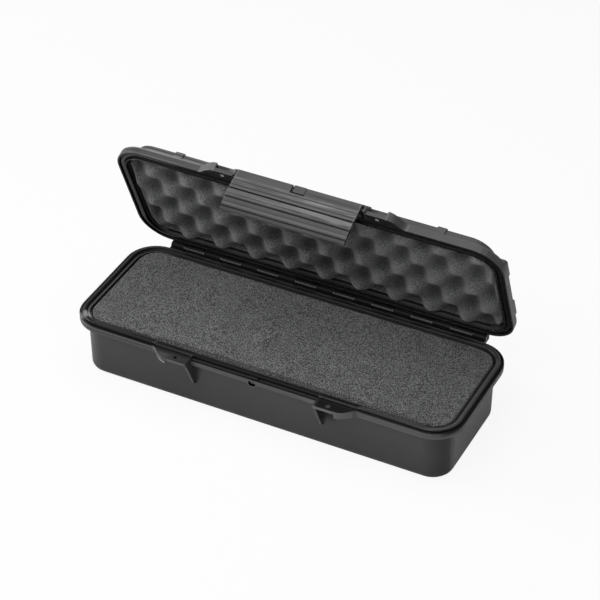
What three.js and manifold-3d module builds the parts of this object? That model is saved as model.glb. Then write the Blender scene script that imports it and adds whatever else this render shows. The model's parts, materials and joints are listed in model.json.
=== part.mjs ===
// Long narrow hard case, lid open, one wide ribbed latch, foam in base and lid
import * as THREE from "three";
import { mergeVertices, toCreasedNormals } from "three/addons/utils/BufferGeometryUtils.js";
import Module from "manifold-3d";

const wasm = await Module();
wasm.setup();

// Main sizes in millimetres. X runs along the case, -Y is the front, Z is up from the table
const CASE_LENGTH = 540;
const CASE_DEPTH = 196;
const RIM_CORNER = 41.5;
const BASE_RIM_Z = 85;
const LID_OPEN_DEG = 67.7;
const LID_HEIGHT = 24.4;
const PART_GAP = 0.35;
const FIT_GAP = 0.4;

// Base walls and floor
const WALL_INSET_TOP = 11.6;
const WALL_INSET_FOOT = 12.6;
const FOOT_FILLET = 8;
const FLOOR_THICK = 3.4;
const FLANGE_HEIGHT = 9.8;
const EDGE_ROUND = 0.7;

// Rim of the base, as distances in from the outer edge
const LIP_WIDTH = 1.7;
const GROOVE_WIDTH = 2.5;
const GROOVE_DEPTH = 1.8;
const BEAD_START = LIP_WIDTH + GROOVE_WIDTH;
const BEAD_WIDTH = 6.2;
const BEAD_RISE = 2;
const BEAD_ROUND = 2;
const STEP_WIDTH = 3.1;
const STEP_DEPTH = 1.1;
const INNER_GAP_WIDTH = 2.6;
const INNER_GAP_DEPTH = 6;
const CAVITY_INSET = BEAD_START + BEAD_WIDTH + STEP_WIDTH + INNER_GAP_WIDTH;
const CAVITY_DRAFT = 1;
const CAVITY_FILLET = 6;

// Latch bay at the front of the base
const BAY_HALF = 89;
const BAY_LEDGE_DROP = 3;
const BAY_RAIL_HEIGHT = 7.8;
const SNAP_HOLE_X = -2.4;
const SNAP_HOLE_DROP = 9.8;
const SNAP_HOLE_R = 3.4;
const SNAP_HOLE_WIDTH = 10;
const SNAP_EYE_WALL = 1.8;
const NUB_WIDTH = 12;
const NUB_HEIGHT = 2.9;
const NUB_REACH = 0.8;

// Wings beside the latch, on base and lid
const WING_REACH = 14.4;
const LID_WING_REACH = 12.8;
const WING_FLAT_LENGTH = 29.3;
const WING_CURVE_LENGTH = 26.7;
const WING_CURVE_POWER = 1.3;
const LID_WING_CURVE_LENGTH = 26;
const WING_SHELF = 4.2;
const LID_WING_FLOOR = 1.6;
const LID_WING_RAIL = 5.4;
const WING_SKIRT = 9.4;
const WING_WALL = 2.8;
const WING_PAD_HEIGHT = 12.8;
const WING_PAD_MIDDLE = 11.8;
const WING_PAD_END = 10.6;
const WING_HOLE_OUT = 18;
const WING_HOLE_REACH = 7.4;
const WING_HOLE_R = 2.4;
const GUSSET_THICK = 3;
const GUSSET_TIP_Z = 39.6;
const GUSSET_TIP_REACH = 5;
const GUSSET_FOOT_DROP = 4;

// Hinge along the back
const HINGE_REACH = 9;
const HINGE_INSET = 41.1;
const MIDDLE_KNUCKLES = 15;
const END_KNUCKLE = 20.4;
const KNUCKLE_R = 5.6;
const KNUCKLE_GAP = 0.5;
const PIN_R = 1.9;
const PIN_PLAY = 0.3;
const PIN_MIDDLE_GAP = 1;
const HEEL_REACH = 7.6;
const HINGE_DROP = 0.07;
const HINGE_WEB_DROP = 1.6;

// Lid shell: a rim band, and a smaller raised panel above it
const BAND_HEIGHT = 11.4;
const BAND_ROUND = 1;
const LID_WALL = 3;
const PANEL_INSET_X = 19;
const PANEL_INSET_Y = 8.4;
const PANEL_CORNER = 31;
const PANEL_DRAFT = 1.4;
const PANEL_ROUND = 2.6;
const LID_RIM_WIDTH = 3;
const SEAL_CHANNEL_DEPTH = 5.4;
const SEAL_ROUND = 1.4;
const SEAL_GAP = 0.18;
const LID_LIP_WIDTH = 1.9;
const LID_LIP_DROP = 0.3;
const LID_LIP_GAP = 0.5;
const LID_WALL_LEAN = 1.5;
const RIB_X = 182;
const RIB_WIDTH = 12;
const RIB_RISE = 1.2;
const RIB_REACH = 2.2;
const END_PAD_Y = 44;
const END_PAD_WIDTH = 34;
const END_PAD_REACH = 4.5;
const END_PAD_DROP = 3;

// Latch and the lugs that carry it
const LATCH_END_GAP = 3.4;
const LATCH_PIVOT_REACH = 10.6;
const LATCH_PIVOT_Z = 91.4;
const LATCH_TOP_Z = 95.2;
const LATCH_GROOVE_Z = 66.4;
const LATCH_TIP_Z = 36;
const LATCH_FACE_REACH = 18.6;
const LATCH_THICK = 3.4;
const LATCH_BAND_SHARES = [0, 0.408, 0.836, 1];
const LATCH_BAND_BULGE = 1.6;
const LATCH_BAND_ROUND = 1.3;
const LATCH_SET_BACK = 0.9;
const LATCH_CURL = 6.4;
const LATCH_BOSS_R = 4.6;
const LATCH_PIN_R = 1.6;
const LATCH_PIN_DEPTH = 14;
const LATCH_PIN_PLAY = 0.1;
const LATCH_NOTCH_X = 0.9;
const LATCH_NOTCH_HALF = 9.7;
const LATCH_NOTCH_DEPTH = 12.8;
const LATCH_NOTCH_PLAY = 0.5;
const CLAW_WIDTH = 40;
const CLAW_X = 48;
const CLAW_THICK = 3;
const CLAW_ROOT = 6;
const LUG_INSET = 1.2;
const LUG_THICK = 3.2;
const LUG_FRONT_REACH = 6.2;
const LUG_FRONT_Z = 93.6;
const LUG_ROUND = 1.8;
const LUG_BACK_RISE = 6.4;
const LUG_BACK_REACH = 3.4;
const LUG_WEB_LENGTH = 10.2;
const LUG_WEB_FOOT_Z = 93;
const LUG_WEB_REACH = 3;
const TAB_NEAR_GAP = 3;
const TAB_FAR_GAP = 0.9;
const TAB_FOOT_GAP = 0.8;
const TAB_BACK_RISE = 1.1;
const TAB_WEB_REACH = 1.3;
const TAB_WEB_SIDE = 8.4;

// Foam
const FOAM_GAP = 0.8;
const FOAM_TOP_DROP = 0.6;
const CRATE_ALONG_SHARE = 0.0941;
const CRATE_ACROSS_SHARE = 0.359;
const CRATE_START_X = 6.6;
const CRATE_START_Y = 13.4;
const CRATE_SKEW_SHARE = 0.19;
const CRATE_PEAK_Z = 85.9;
const CRATE_HEIGHT = 13;
const CRATE_EDGE = 20;
const CRATE_EDGE_SHARE = 0.45;
const CRATE_STEPS = 5;

// How finely curves are cut
const CORNER_STEPS = 9;
const FILLET_STEPS = 5;
const WING_STEPS = 10;
const RIB_STEPS = 5;
const BACK_STEPS = 6;
const BEAD_STEPS = 3;
const ROUND_SHARE = 0.3;
const CREASE_DEG = 30;
const ROUND_SIDES = 20;
const HOLE_SIDES = 16;

const BAY_LEDGE_Z = BASE_RIM_Z - BAY_LEDGE_DROP;
const SNAP_HOLE_Z = BASE_RIM_Z - SNAP_HOLE_DROP;
const LATCH_HALF = BAY_HALF - LATCH_END_GAP;
const LUG_X = BAY_HALF - LUG_INSET;
const WING_FLAT_X = BAY_HALF + WING_FLAT_LENGTH;
const CRATE_PITCH_X = CASE_LENGTH * CRATE_ALONG_SHARE;
const CRATE_PITCH_Y = CASE_DEPTH * CRATE_ACROSS_SHARE;
const HALF_X = CASE_LENGTH / 2;
const HALF_Y = CASE_DEPTH / 2;
const FRONT_Y = -HALF_Y;
const HINGE_Y = HALF_Y + HINGE_REACH;
const HINGE_Z = BASE_RIM_Z - HINGE_DROP;
const LATCH_PIVOT_Y = FRONT_Y - LATCH_PIVOT_REACH;
const PARTING_Z = BASE_RIM_Z + PART_GAP;
const LID_TOP_Z = PARTING_Z + LID_HEIGHT;
const BAND_TOP_Z = PARTING_Z + BAND_HEIGHT;
const LID_SEAL_TOP_Z = PARTING_Z + SEAL_CHANNEL_DEPTH;
const WALL_Y = FRONT_Y + WALL_INSET_TOP;
const LID_LIP_INSET = CAVITY_INSET - INNER_GAP_WIDTH - LID_LIP_GAP;

// One ring of points round a rounded rectangle, counter clockwise seen from above
function ring(insetX, insetY, corner, z) {
  const cx = HALF_X - insetX - corner;
  const cy = HALF_Y - insetY - corner;
  const corners = [[cx, cy, 0], [-cx, cy, 1], [-cx, -cy, 2], [cx, -cy, 3]];
  const points = [];
  for (const [x, y, quarter] of corners) {
    for (let i = 0; i <= CORNER_STEPS; i += 1) {
      const angle = (quarter + i / CORNER_STEPS) * Math.PI / 2;
      points.push([x + corner * Math.cos(angle), y + corner * Math.sin(angle), z]);
    }
  }
  return points;
}

// A ring that keeps its distance to the rim all round
function offsetRing(inset, z) {
  return ring(inset, inset, RIM_CORNER - inset, z);
}

// Joins rings into one closed skin, capped at both ends
function loft(rings) {
  const count = rings[0].length;
  const positions = rings.flat(2);
  const indices = [];
  for (let k = 0; k + 1 < rings.length; k += 1) {
    for (let i = 0; i < count; i += 1) {
      const j = (i + 1) % count;
      const low = k * count;
      const high = low + count;
      indices.push(low + i, low + j, high + j, low + i, high + j, high + i);
    }
  }
  const last = (rings.length - 1) * count;
  for (let i = 1; i + 1 < count; i += 1) {
    indices.push(0, i + 1, i);
    indices.push(last, last + i, last + i + 1);
  }
  return indexed(positions, indices);
}

function indexed(positions, indices) {
  const geometry = new THREE.BufferGeometry();
  geometry.setAttribute("position", new THREE.Float32BufferAttribute(positions, 3));
  geometry.setIndex(indices);
  return geometry;
}

// Turns a three.js geometry into a solid that can be joined and cut
function solid(geometry) {
  const bare = geometry.clone();
  bare.deleteAttribute("normal");
  bare.deleteAttribute("uv");
  const merged = mergeVertices(bare);
  return new wasm.Manifold(new wasm.Mesh({
    numProp: 3,
    vertProperties: new Float32Array(merged.attributes.position.array),
    triVerts: new Uint32Array(merged.index.array),
  }));
}

function geometryOf(manifold) {
  const mesh = manifold.getMesh();
  return indexed(Array.from(mesh.vertProperties), Array.from(mesh.triVerts));
}

function box(x0, x1, y0, y1, z0, z1) {
  const geometry = new THREE.BoxGeometry(x1 - x0, y1 - y0, z1 - z0);
  geometry.translate((x0 + x1) / 2, (y0 + y1) / 2, (z0 + z1) / 2);
  return solid(geometry);
}

// A rod along X, Y or Z between two places on that axis
function rod(axis, radius, from, to, centre, sides = ROUND_SIDES) {
  const geometry = new THREE.CylinderGeometry(radius, radius, to - from, sides);
  if (axis === "x") geometry.rotateZ(Math.PI / 2);
  if (axis === "z") geometry.rotateX(Math.PI / 2);
  const middle = (from + to) / 2;
  const place = {
    x: [middle, centre[0], centre[1]],
    y: [centre[0], middle, centre[1]],
    z: [centre[0], centre[1], middle],
  }[axis];
  geometry.translate(...place);
  return solid(geometry);
}

// An outline in Y and Z, drawn out along X
function sideProfile(points, x0, x1) {
  const shape = new THREE.Shape(points.map(([y, z]) => new THREE.Vector2(y, z)));
  const geometry = new THREE.ExtrudeGeometry(shape, { depth: x1 - x0, bevelEnabled: false });
  geometry.rotateY(Math.PI / 2);
  geometry.rotateX(Math.PI / 2);
  geometry.translate(x0, 0, 0);
  return solid(geometry);
}

// An outline in X and Z, drawn out along Y
function frontProfile(points, y0, y1) {
  const shape = new THREE.Shape(points.map(([x, z]) => new THREE.Vector2(x, z)));
  const geometry = new THREE.ExtrudeGeometry(shape, { depth: y1 - y0, bevelEnabled: false });
  geometry.rotateX(Math.PI / 2);
  geometry.translate(0, y1, 0);
  return solid(geometry);
}

// An outline in X and Y, drawn up along Z
function plate(points, z0, z1) {
  const shape = new THREE.Shape(points.map(([x, y]) => new THREE.Vector2(x, y)));
  const geometry = new THREE.ExtrudeGeometry(shape, { depth: z1 - z0, bevelEnabled: false });
  geometry.translate(0, 0, z0);
  return solid(geometry);
}

// The same thing on the left and on the right
function both(make) {
  return make(1).add(make(-1));
}

// A rod along X on one side of the middle, told by its near and far end
function sideRod(side, radius, near, far, centre) {
  const ends = [side * near, side * far];
  return rod("x", radius, Math.min(...ends), Math.max(...ends), centre, HOLE_SIDES);
}

// The front edge of a wing: straight beside the latch, then an S-curve back to the rim
function wingEdge(from, fullReach, curve, inwards) {
  const points = [];
  if (from < WING_FLAT_X) points.push([from, FRONT_Y - fullReach + inwards]);
  for (let i = 0; i <= WING_STEPS; i += 1) {
    const share = i / WING_STEPS;
    const reach = fullReach * (1 + Math.cos(Math.PI * share ** WING_CURVE_POWER)) / 2;
    points.push([WING_FLAT_X + curve * share, FRONT_Y - reach + inwards]);
  }
  return points;
}

function mirrored(points, side) {
  const out = points.map(([x, y]) => [side * x, y]);
  return side > 0 ? out : out.reverse();
}

// A flat wing from one place on X out to the end of its S-curve
function wingPlate(side, from, reach, curve, z0, z1) {
  const backY = FRONT_Y + EDGE_ROUND;
  const inner = [[WING_FLAT_X + curve, backY], [from, backY]];
  return plate(mirrored([...wingEdge(from, reach, curve, 0), ...inner], side), z0, z1);
}

// A wall that follows a wing's front edge
function wingWall(side, from, reach, curve, z0, z1) {
  const outer = wingEdge(from, reach, curve, 0);
  const inner = wingEdge(from, reach, curve, WING_WALL).reverse();
  return plate(mirrored([...outer, ...inner], side), z0, z1);
}

function wingHole(side, z0, z1) {
  const y = FRONT_Y - WING_HOLE_REACH;
  return rod("z", WING_HOLE_R, z0, z1, [side * (BAY_HALF + WING_HOLE_OUT), y], HOLE_SIDES);
}

function baseRings() {
  const rings = [];
  for (let i = 0; i <= FILLET_STEPS; i += 1) {
    const angle = (i / FILLET_STEPS) * Math.PI / 2;
    const inset = WALL_INSET_FOOT + FOOT_FILLET * (1 - Math.sin(angle));
    rings.push(offsetRing(inset, FOOT_FILLET * (1 - Math.cos(angle))));
  }
  const flangeZ = BASE_RIM_Z - FLANGE_HEIGHT;
  rings.push(offsetRing(WALL_INSET_TOP, flangeZ));
  rings.push(offsetRing(EDGE_ROUND, flangeZ));
  rings.push(offsetRing(0, flangeZ + EDGE_ROUND));
  rings.push(offsetRing(0, BASE_RIM_Z - EDGE_ROUND));
  rings.push(offsetRing(EDGE_ROUND, BASE_RIM_Z));
  rings.push(offsetRing(LIP_WIDTH, BASE_RIM_Z));
  rings.push(offsetRing(LIP_WIDTH, BASE_RIM_Z - GROOVE_DEPTH));
  rings.push(offsetRing(BEAD_START, BASE_RIM_Z - GROOVE_DEPTH));
  const beadEnd = BEAD_START + BEAD_WIDTH;
  for (let i = 0; i <= BEAD_STEPS; i += 1) rings.push(beadRing(BEAD_START, 1, i / BEAD_STEPS));
  for (let i = BEAD_STEPS; i >= 0; i -= 1) rings.push(beadRing(beadEnd, -1, i / BEAD_STEPS));
  rings.push(offsetRing(beadEnd, BASE_RIM_Z - STEP_DEPTH));
  rings.push(offsetRing(beadEnd + STEP_WIDTH, BASE_RIM_Z - STEP_DEPTH));
  rings.push(offsetRing(beadEnd + STEP_WIDTH, BASE_RIM_Z - INNER_GAP_DEPTH));
  rings.push(offsetRing(CAVITY_INSET, BASE_RIM_Z - INNER_GAP_DEPTH));
  const footInset = CAVITY_INSET + CAVITY_DRAFT;
  rings.push(offsetRing(footInset, FLOOR_THICK + CAVITY_FILLET));
  const round = CAVITY_FILLET * ROUND_SHARE;
  rings.push(offsetRing(footInset + round, FLOOR_THICK + round));
  rings.push(offsetRing(footInset + CAVITY_FILLET, FLOOR_THICK));
  return rings;
}

// One step of the bead's rounded shoulder, from its upright side to its flat top
function beadRing(inset, towards, share) {
  const angle = share * Math.PI / 2;
  const shift = BEAD_ROUND * (1 - Math.cos(angle));
  const drop = BEAD_ROUND * (1 - Math.sin(angle));
  return offsetRing(inset + towards * shift, BASE_RIM_Z + BEAD_RISE - drop);
}

// Cuts the rim's outer lip away between the wings and puts the catch rail there
function addLatchBay(shell) {
  const railFoot = BAY_LEDGE_Z - BAY_RAIL_HEIGHT;
  const outside = FRONT_Y - FIT_GAP;
  const beadY = FRONT_Y + BEAD_START;
  const cutTop = BASE_RIM_Z + BEAD_RISE;
  const cut = box(-BAY_HALF, BAY_HALF, outside, beadY, BAY_LEDGE_Z, cutTop);
  const rail = box(-BAY_HALF, BAY_HALF, FRONT_Y, WALL_Y + FIT_GAP, railFoot, BAY_LEDGE_Z);
  const eye = slot(SNAP_HOLE_R + SNAP_EYE_WALL, FRONT_Y, FRONT_Y + BEAD_START);
  const hole = slot(SNAP_HOLE_R, outside, WALL_Y - FIT_GAP);
  const nubX = NUB_WIDTH / 2;
  const nubFoot = BAY_LEDGE_Z - FIT_GAP;
  const nubTop = BAY_LEDGE_Z + NUB_HEIGHT;
  const nub = box(-nubX, nubX, FRONT_Y + NUB_REACH, beadY + FIT_GAP, nubFoot, nubTop);
  return shell.subtract(cut).add(rail).add(eye).add(nub).subtract(hole);
}

// A round-ended bar along Y at the snap hole
function slot(radius, from, to) {
  const half = SNAP_HOLE_WIDTH / 2 - SNAP_HOLE_R;
  const x0 = SNAP_HOLE_X - half;
  const x1 = SNAP_HOLE_X + half;
  const ends = [x0, x1].map((x) => rod("y", radius, from, to, [x, SNAP_HOLE_Z], HOLE_SIDES));
  const middle = box(x0, x1, from, to, SNAP_HOLE_Z - radius, SNAP_HOLE_Z + radius);
  return ends[0].add(ends[1]).add(middle);
}

// The thin three-cornered plates that guard the latch's sides
function gusset(side) {
  const topY = FRONT_Y - WING_REACH;
  const backY = WALL_Y + FIT_GAP;
  const outline = [
    [topY, BASE_RIM_Z],
    [WALL_Y - GUSSET_TIP_REACH, GUSSET_TIP_Z],
    [backY, GUSSET_TIP_Z - GUSSET_FOOT_DROP],
    [backY, BASE_RIM_Z],
  ];
  const x0 = side > 0 ? BAY_HALF : -BAY_HALF - GUSSET_THICK;
  return sideProfile(outline, x0, x0 + GUSSET_THICK);
}

// Places of the hinge knuckles: two short end ones and a row of equal ones
function knuckleSpans() {
  const row = HALF_X - HINGE_INSET - END_KNUCKLE;
  const pitch = 2 * row / MIDDLE_KNUCKLES;
  const spans = [[-row - END_KNUCKLE, -row]];
  for (let i = 0; i < MIDDLE_KNUCKLES; i += 1) {
    const from = -row + i * pitch;
    spans.push([from, from + pitch]);
  }
  spans.push([row, row + END_KNUCKLE]);
  return spans.map(([from, to]) => [from + KNUCKLE_GAP / 2, to - KNUCKLE_GAP / 2]);
}

const KNUCKLES = knuckleSpans();
const HINGE_HALF = KNUCKLES[KNUCKLES.length - 1][1];

// The outline of one knuckle: a round barrel with an arm to its shell, and a heel on the base's
function knuckle([x0, x1], armZ0, armZ1, armY, heel) {
  let body = rod("x", KNUCKLE_R, x0, x1, [HINGE_Y, HINGE_Z]);
  body = body.add(box(x0, x1, armY, HINGE_Y, armZ0, armZ1));
  if (heel) {
    body = body.add(box(x0, x1, HINGE_Y, HINGE_Y + HEEL_REACH, HINGE_Z - KNUCKLE_R, HINGE_Z));
    body = body.add(sideProfile([
      [HINGE_Y, HINGE_Z],
      [HINGE_Y + HEEL_REACH, HINGE_Z],
      [HINGE_Y + HEEL_REACH, HINGE_Z + HEEL_REACH],
      [HINGE_Y, HINGE_Z + KNUCKLE_R],
    ], x0, x1));
  }
  return body;
}

function pinBore(x0, x1) {
  return rod("x", PIN_R + PIN_PLAY, x0, x1, [HINGE_Y, HINGE_Z], HOLE_SIDES);
}

function baseShell() {
  let shell = solid(loft(baseRings()));
  shell = addLatchBay(shell);
  const skirtFoot = BASE_RIM_Z - WING_SKIRT;
  const shelfFoot = BASE_RIM_Z - WING_SHELF;
  const wing = [WING_REACH, WING_CURVE_LENGTH];
  shell = shell.add(both((side) => wingPlate(side, BAY_HALF, ...wing, shelfFoot, BASE_RIM_Z)));
  shell = shell.add(both((side) => wingWall(side, WING_FLAT_X, ...wing, skirtFoot, BASE_RIM_Z)));
  shell = shell.add(both(gusset));
  shell = shell.subtract(both((side) => wingHole(side, skirtFoot, PARTING_Z)));
  const armFoot = HINGE_Z - KNUCKLE_R;
  const armY = HALF_Y - LIP_WIDTH;
  const webY = HINGE_Y - KNUCKLE_R - KNUCKLE_GAP;
  const ends = [KNUCKLES[0][0], HINGE_HALF];
  shell = shell.add(box(...ends, armY, webY, armFoot, HINGE_Z - HINGE_WEB_DROP));
  KNUCKLES.filter((span, i) => i % 2 === 0).forEach((span) => {
    shell = shell.add(knuckle(span, armFoot, HINGE_Z, armY, true));
  });
  return shell.subtract(pinBore(-HINGE_HALF - FIT_GAP, HINGE_HALF + FIT_GAP));
}

function lidRings() {
  const rings = [];
  const top = LID_TOP_Z;
  const ceiling = top - LID_WALL;
  const lipInner = LID_LIP_INSET;
  const insideX = PANEL_INSET_X + LID_WALL;
  const insideY = Math.max(PANEL_INSET_Y + LID_WALL, lipInner + LID_WALL_LEAN);
  const insideCorner = PANEL_CORNER - LID_WALL;
  const shoulderZ = BAND_TOP_Z - LID_WALL;
  const inside = (lean, z) => ring(insideX + lean, insideY + lean, insideCorner - lean, z);
  rings.push(inside(PANEL_DRAFT + PANEL_ROUND, ceiling));
  rings.push(inside(PANEL_DRAFT, ceiling - PANEL_ROUND));
  rings.push(inside(0, shoulderZ + LID_WALL));
  rings.push(offsetRing(lipInner + CAVITY_DRAFT, shoulderZ));
  const lipOuter = lipInner - LID_LIP_WIDTH;
  rings.push(offsetRing(lipInner, PARTING_Z - LID_LIP_DROP));
  rings.push(offsetRing(lipOuter, PARTING_Z - LID_LIP_DROP));
  rings.push(offsetRing(lipOuter, LID_SEAL_TOP_Z));
  rings.push(offsetRing(LID_RIM_WIDTH, LID_SEAL_TOP_Z));
  rings.push(offsetRing(LID_RIM_WIDTH, PARTING_Z));
  rings.push(offsetRing(EDGE_ROUND, PARTING_Z));
  rings.push(offsetRing(0, PARTING_Z + EDGE_ROUND));
  rings.push(offsetRing(0, BAND_TOP_Z - BAND_ROUND));
  rings.push(offsetRing(BAND_ROUND, BAND_TOP_Z));
  const panel = (lean, z) => ring(PANEL_INSET_X + lean, PANEL_INSET_Y + lean, PANEL_CORNER - lean, z);
  const round = PANEL_ROUND * ROUND_SHARE;
  rings.push(panel(0, BAND_TOP_Z + BAND_ROUND));
  rings.push(panel(PANEL_DRAFT, top - PANEL_ROUND));
  rings.push(panel(PANEL_DRAFT + round, top - round));
  rings.push(panel(PANEL_DRAFT + PANEL_ROUND, top));
  return rings;
}

// Raised ribs across the lid's top and pads at its ends
function lidRibs() {
  const top = LID_TOP_Z;
  const ribY = HALF_Y - PANEL_INSET_Y - PANEL_DRAFT + RIB_REACH;
  const foot = BAND_TOP_Z;
  const half = RIB_WIDTH / 2;
  const outline = [
    [-ribY, foot],
    [ribY, foot],
    [ribY, top - PANEL_ROUND],
    [ribY - PANEL_ROUND, top + RIB_RISE],
    [PANEL_ROUND - ribY, top + RIB_RISE],
    [-ribY, top - PANEL_ROUND],
  ];
  const across = both((side) => sideProfile(outline, side * RIB_X - half, side * RIB_X + half));
  const midWall = LID_WALL / 2;
  const insideY = HALF_Y - PANEL_INSET_Y - midWall;
  const keepOut = box(-HALF_X, HALF_X, -insideY, insideY, 0, LID_TOP_Z - midWall);
  let ribs = across.subtract(keepOut);
  const padX = HALF_X - END_PAD_REACH;
  for (const end of [1, -1]) {
    ribs = ribs.add(both((side) => endPad(side, padX, end * END_PAD_Y, END_PAD_WIDTH)));
  }
  return ribs;
}

// A pad that fills the step between the rim band and the panel at one end
function endPad(side, padX, y, width) {
  const padTop = LID_TOP_Z - END_PAD_DROP;
  const innerX = HALF_X - PANEL_INSET_X - PANEL_DRAFT - FIT_GAP;
  const slope = END_PAD_DROP;
  const half = width / 2;
  const points = [
    [innerX, y - half],
    [padX - slope, y - half],
    [padX, y - half + slope],
    [padX, y + half - slope],
    [padX - slope, y + half],
    [innerX, y + half],
  ];
  const pad = plate(mirrored(points, side), BAND_TOP_Z - FIT_GAP, padTop);
  return pad.intersect(solid(loft([offsetRing(BAND_ROUND, 0), offsetRing(BAND_ROUND, LID_TOP_Z)])));
}

// The cheek beside the latch that holds its pin, with a web that closes the gap behind the latch
function latchLug(side) {
  const frontY = LATCH_PIVOT_Y - LUG_FRONT_REACH;
  const backY = FRONT_Y + LUG_BACK_REACH;
  const topZ = BAND_TOP_Z + LUG_BACK_RISE;
  const x0 = side > 0 ? LUG_X : -LUG_X - LUG_THICK;
  const cheek = sideProfile([
    [frontY, PARTING_Z],
    [backY, PARTING_Z],
    [backY, topZ],
    [FRONT_Y - LUG_WEB_REACH, topZ],
    [frontY + LUG_ROUND, LUG_FRONT_Z + LUG_ROUND],
    [frontY, LUG_FRONT_Z],
  ], x0, x0 + LUG_THICK);
  const webX = side > 0 ? [LUG_X - LUG_WEB_LENGTH, LUG_X] : [-LUG_X, LUG_WEB_LENGTH - LUG_X];
  const web = box(...webX, FRONT_Y - LUG_WEB_REACH, FRONT_Y + LUG_BACK_REACH, LUG_WEB_FOOT_Z, topZ);
  return cheek.add(web);
}

// A lid wing: a floor with a low rail in front, and a thick sloping pad under its S-curve
function lidWing(side) {
  const wing = [LID_WING_REACH, LID_WING_CURVE_LENGTH];
  const floor = wingPlate(side, LUG_X, ...wing, PARTING_Z, PARTING_Z + LID_WING_FLOOR);
  const rail = wingWall(side, LUG_X, ...wing, PARTING_Z, PARTING_Z + LID_WING_RAIL);
  const padTop = PARTING_Z + WING_PAD_HEIGHT;
  const pad = wingPlate(side, WING_FLAT_X, ...wing, PARTING_Z, padTop);
  const endX = WING_FLAT_X + LID_WING_CURVE_LENGTH;
  const slope = frontProfile(mirrored([
    [WING_FLAT_X, PARTING_Z],
    [endX, PARTING_Z],
    [endX, PARTING_Z + WING_PAD_END],
    [(WING_FLAT_X + endX) / 2, PARTING_Z + WING_PAD_MIDDLE],
    [WING_FLAT_X, padTop],
  ], side), FRONT_Y - LID_WING_REACH, FRONT_Y + LID_RIM_WIDTH);
  return floor.add(rail).add(pad.intersect(slope));
}

function lidShell() {
  let shell = solid(loft(lidRings()));
  shell = shell.add(lidRibs());
  shell = shell.add(both(lidWing));
  shell = shell.add(both(latchLug));
  const holeTop = PARTING_Z + LID_WING_RAIL;
  shell = shell.subtract(both((side) => wingHole(side, PARTING_Z - FIT_GAP, holeTop)));
  shell = shell.subtract(both((side) => latchPinBore(side, LATCH_PIN_R)));
  shell = shell.add(latchTab());
  const armTop = HINGE_Z + KNUCKLE_R;
  const armY = HALF_Y - LID_RIM_WIDTH / 2;
  KNUCKLES.filter((span, i) => i % 2 === 1).forEach((span) => {
    shell = shell.add(knuckle(span, HINGE_Z + PART_GAP, armTop, armY, false));
  });
  return shell.subtract(pinBore(-HINGE_HALF - FIT_GAP, HINGE_HALF + FIT_GAP));
}

// How far the latch's notch reaches out from its pivot
function notchRadius() {
  return Math.hypot(LATCH_FACE_REACH - LATCH_PIVOT_REACH, LATCH_NOTCH_DEPTH / 2) + LATCH_NOTCH_PLAY;
}

// The tab on the lid that fills the latch's notch, round in front so that the latch clears it
function latchTab() {
  const x0 = LATCH_NOTCH_X - LATCH_NOTCH_HALF + TAB_NEAR_GAP;
  const x1 = LATCH_NOTCH_X + LATCH_NOTCH_HALF - TAB_FAR_GAP;
  const foot = LATCH_TOP_Z - LATCH_NOTCH_DEPTH + TAB_FOOT_GAP;
  const back = FRONT_Y + LID_RIM_WIDTH / 2;
  const front = FRONT_Y - LATCH_FACE_REACH + FIT_GAP;
  const body = box(x0, x1, front, back, foot, LATCH_TOP_Z - FIT_GAP);
  const reach = rod("x", notchRadius() - LATCH_NOTCH_PLAY, x0, x1, [LATCH_PIVOT_Y, LATCH_PIVOT_Z]);
  const behind = box(x0, x1, LATCH_PIVOT_Y, back, foot, LATCH_TOP_Z - FIT_GAP);
  const coverHalf = LATCH_NOTCH_HALF - LATCH_NOTCH_PLAY;
  const coverX = [LATCH_NOTCH_X - coverHalf, LATCH_NOTCH_X + coverHalf];
  const coverY = FRONT_Y - LATCH_FACE_REACH + LATCH_THICK + FIT_GAP;
  const cover = box(...coverX, coverY, back, foot, LATCH_TOP_Z + TAB_BACK_RISE);
  const webY = [FRONT_Y - TAB_WEB_REACH, FRONT_Y + LUG_BACK_REACH];
  const web = box(x0 - TAB_WEB_SIDE, x1, ...webY, LUG_WEB_FOOT_Z, BAND_TOP_Z + LUG_BACK_RISE);
  const nubY = FRONT_Y - FIT_GAP;
  const nubRoom = box(-BAY_HALF, BAY_HALF, nubY, back + FIT_GAP, foot - FIT_GAP, PARTING_Z);
  return body.intersect(reach.add(behind)).add(cover).subtract(nubRoom).add(web);
}

function latchPinBore(side, radius) {
  const from = LATCH_HALF - LATCH_PIN_DEPTH;
  const to = LUG_X + LUG_THICK + FIT_GAP;
  return sideRod(side, radius, from, to, [LATCH_PIVOT_Y, LATCH_PIVOT_Z]);
}

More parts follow.
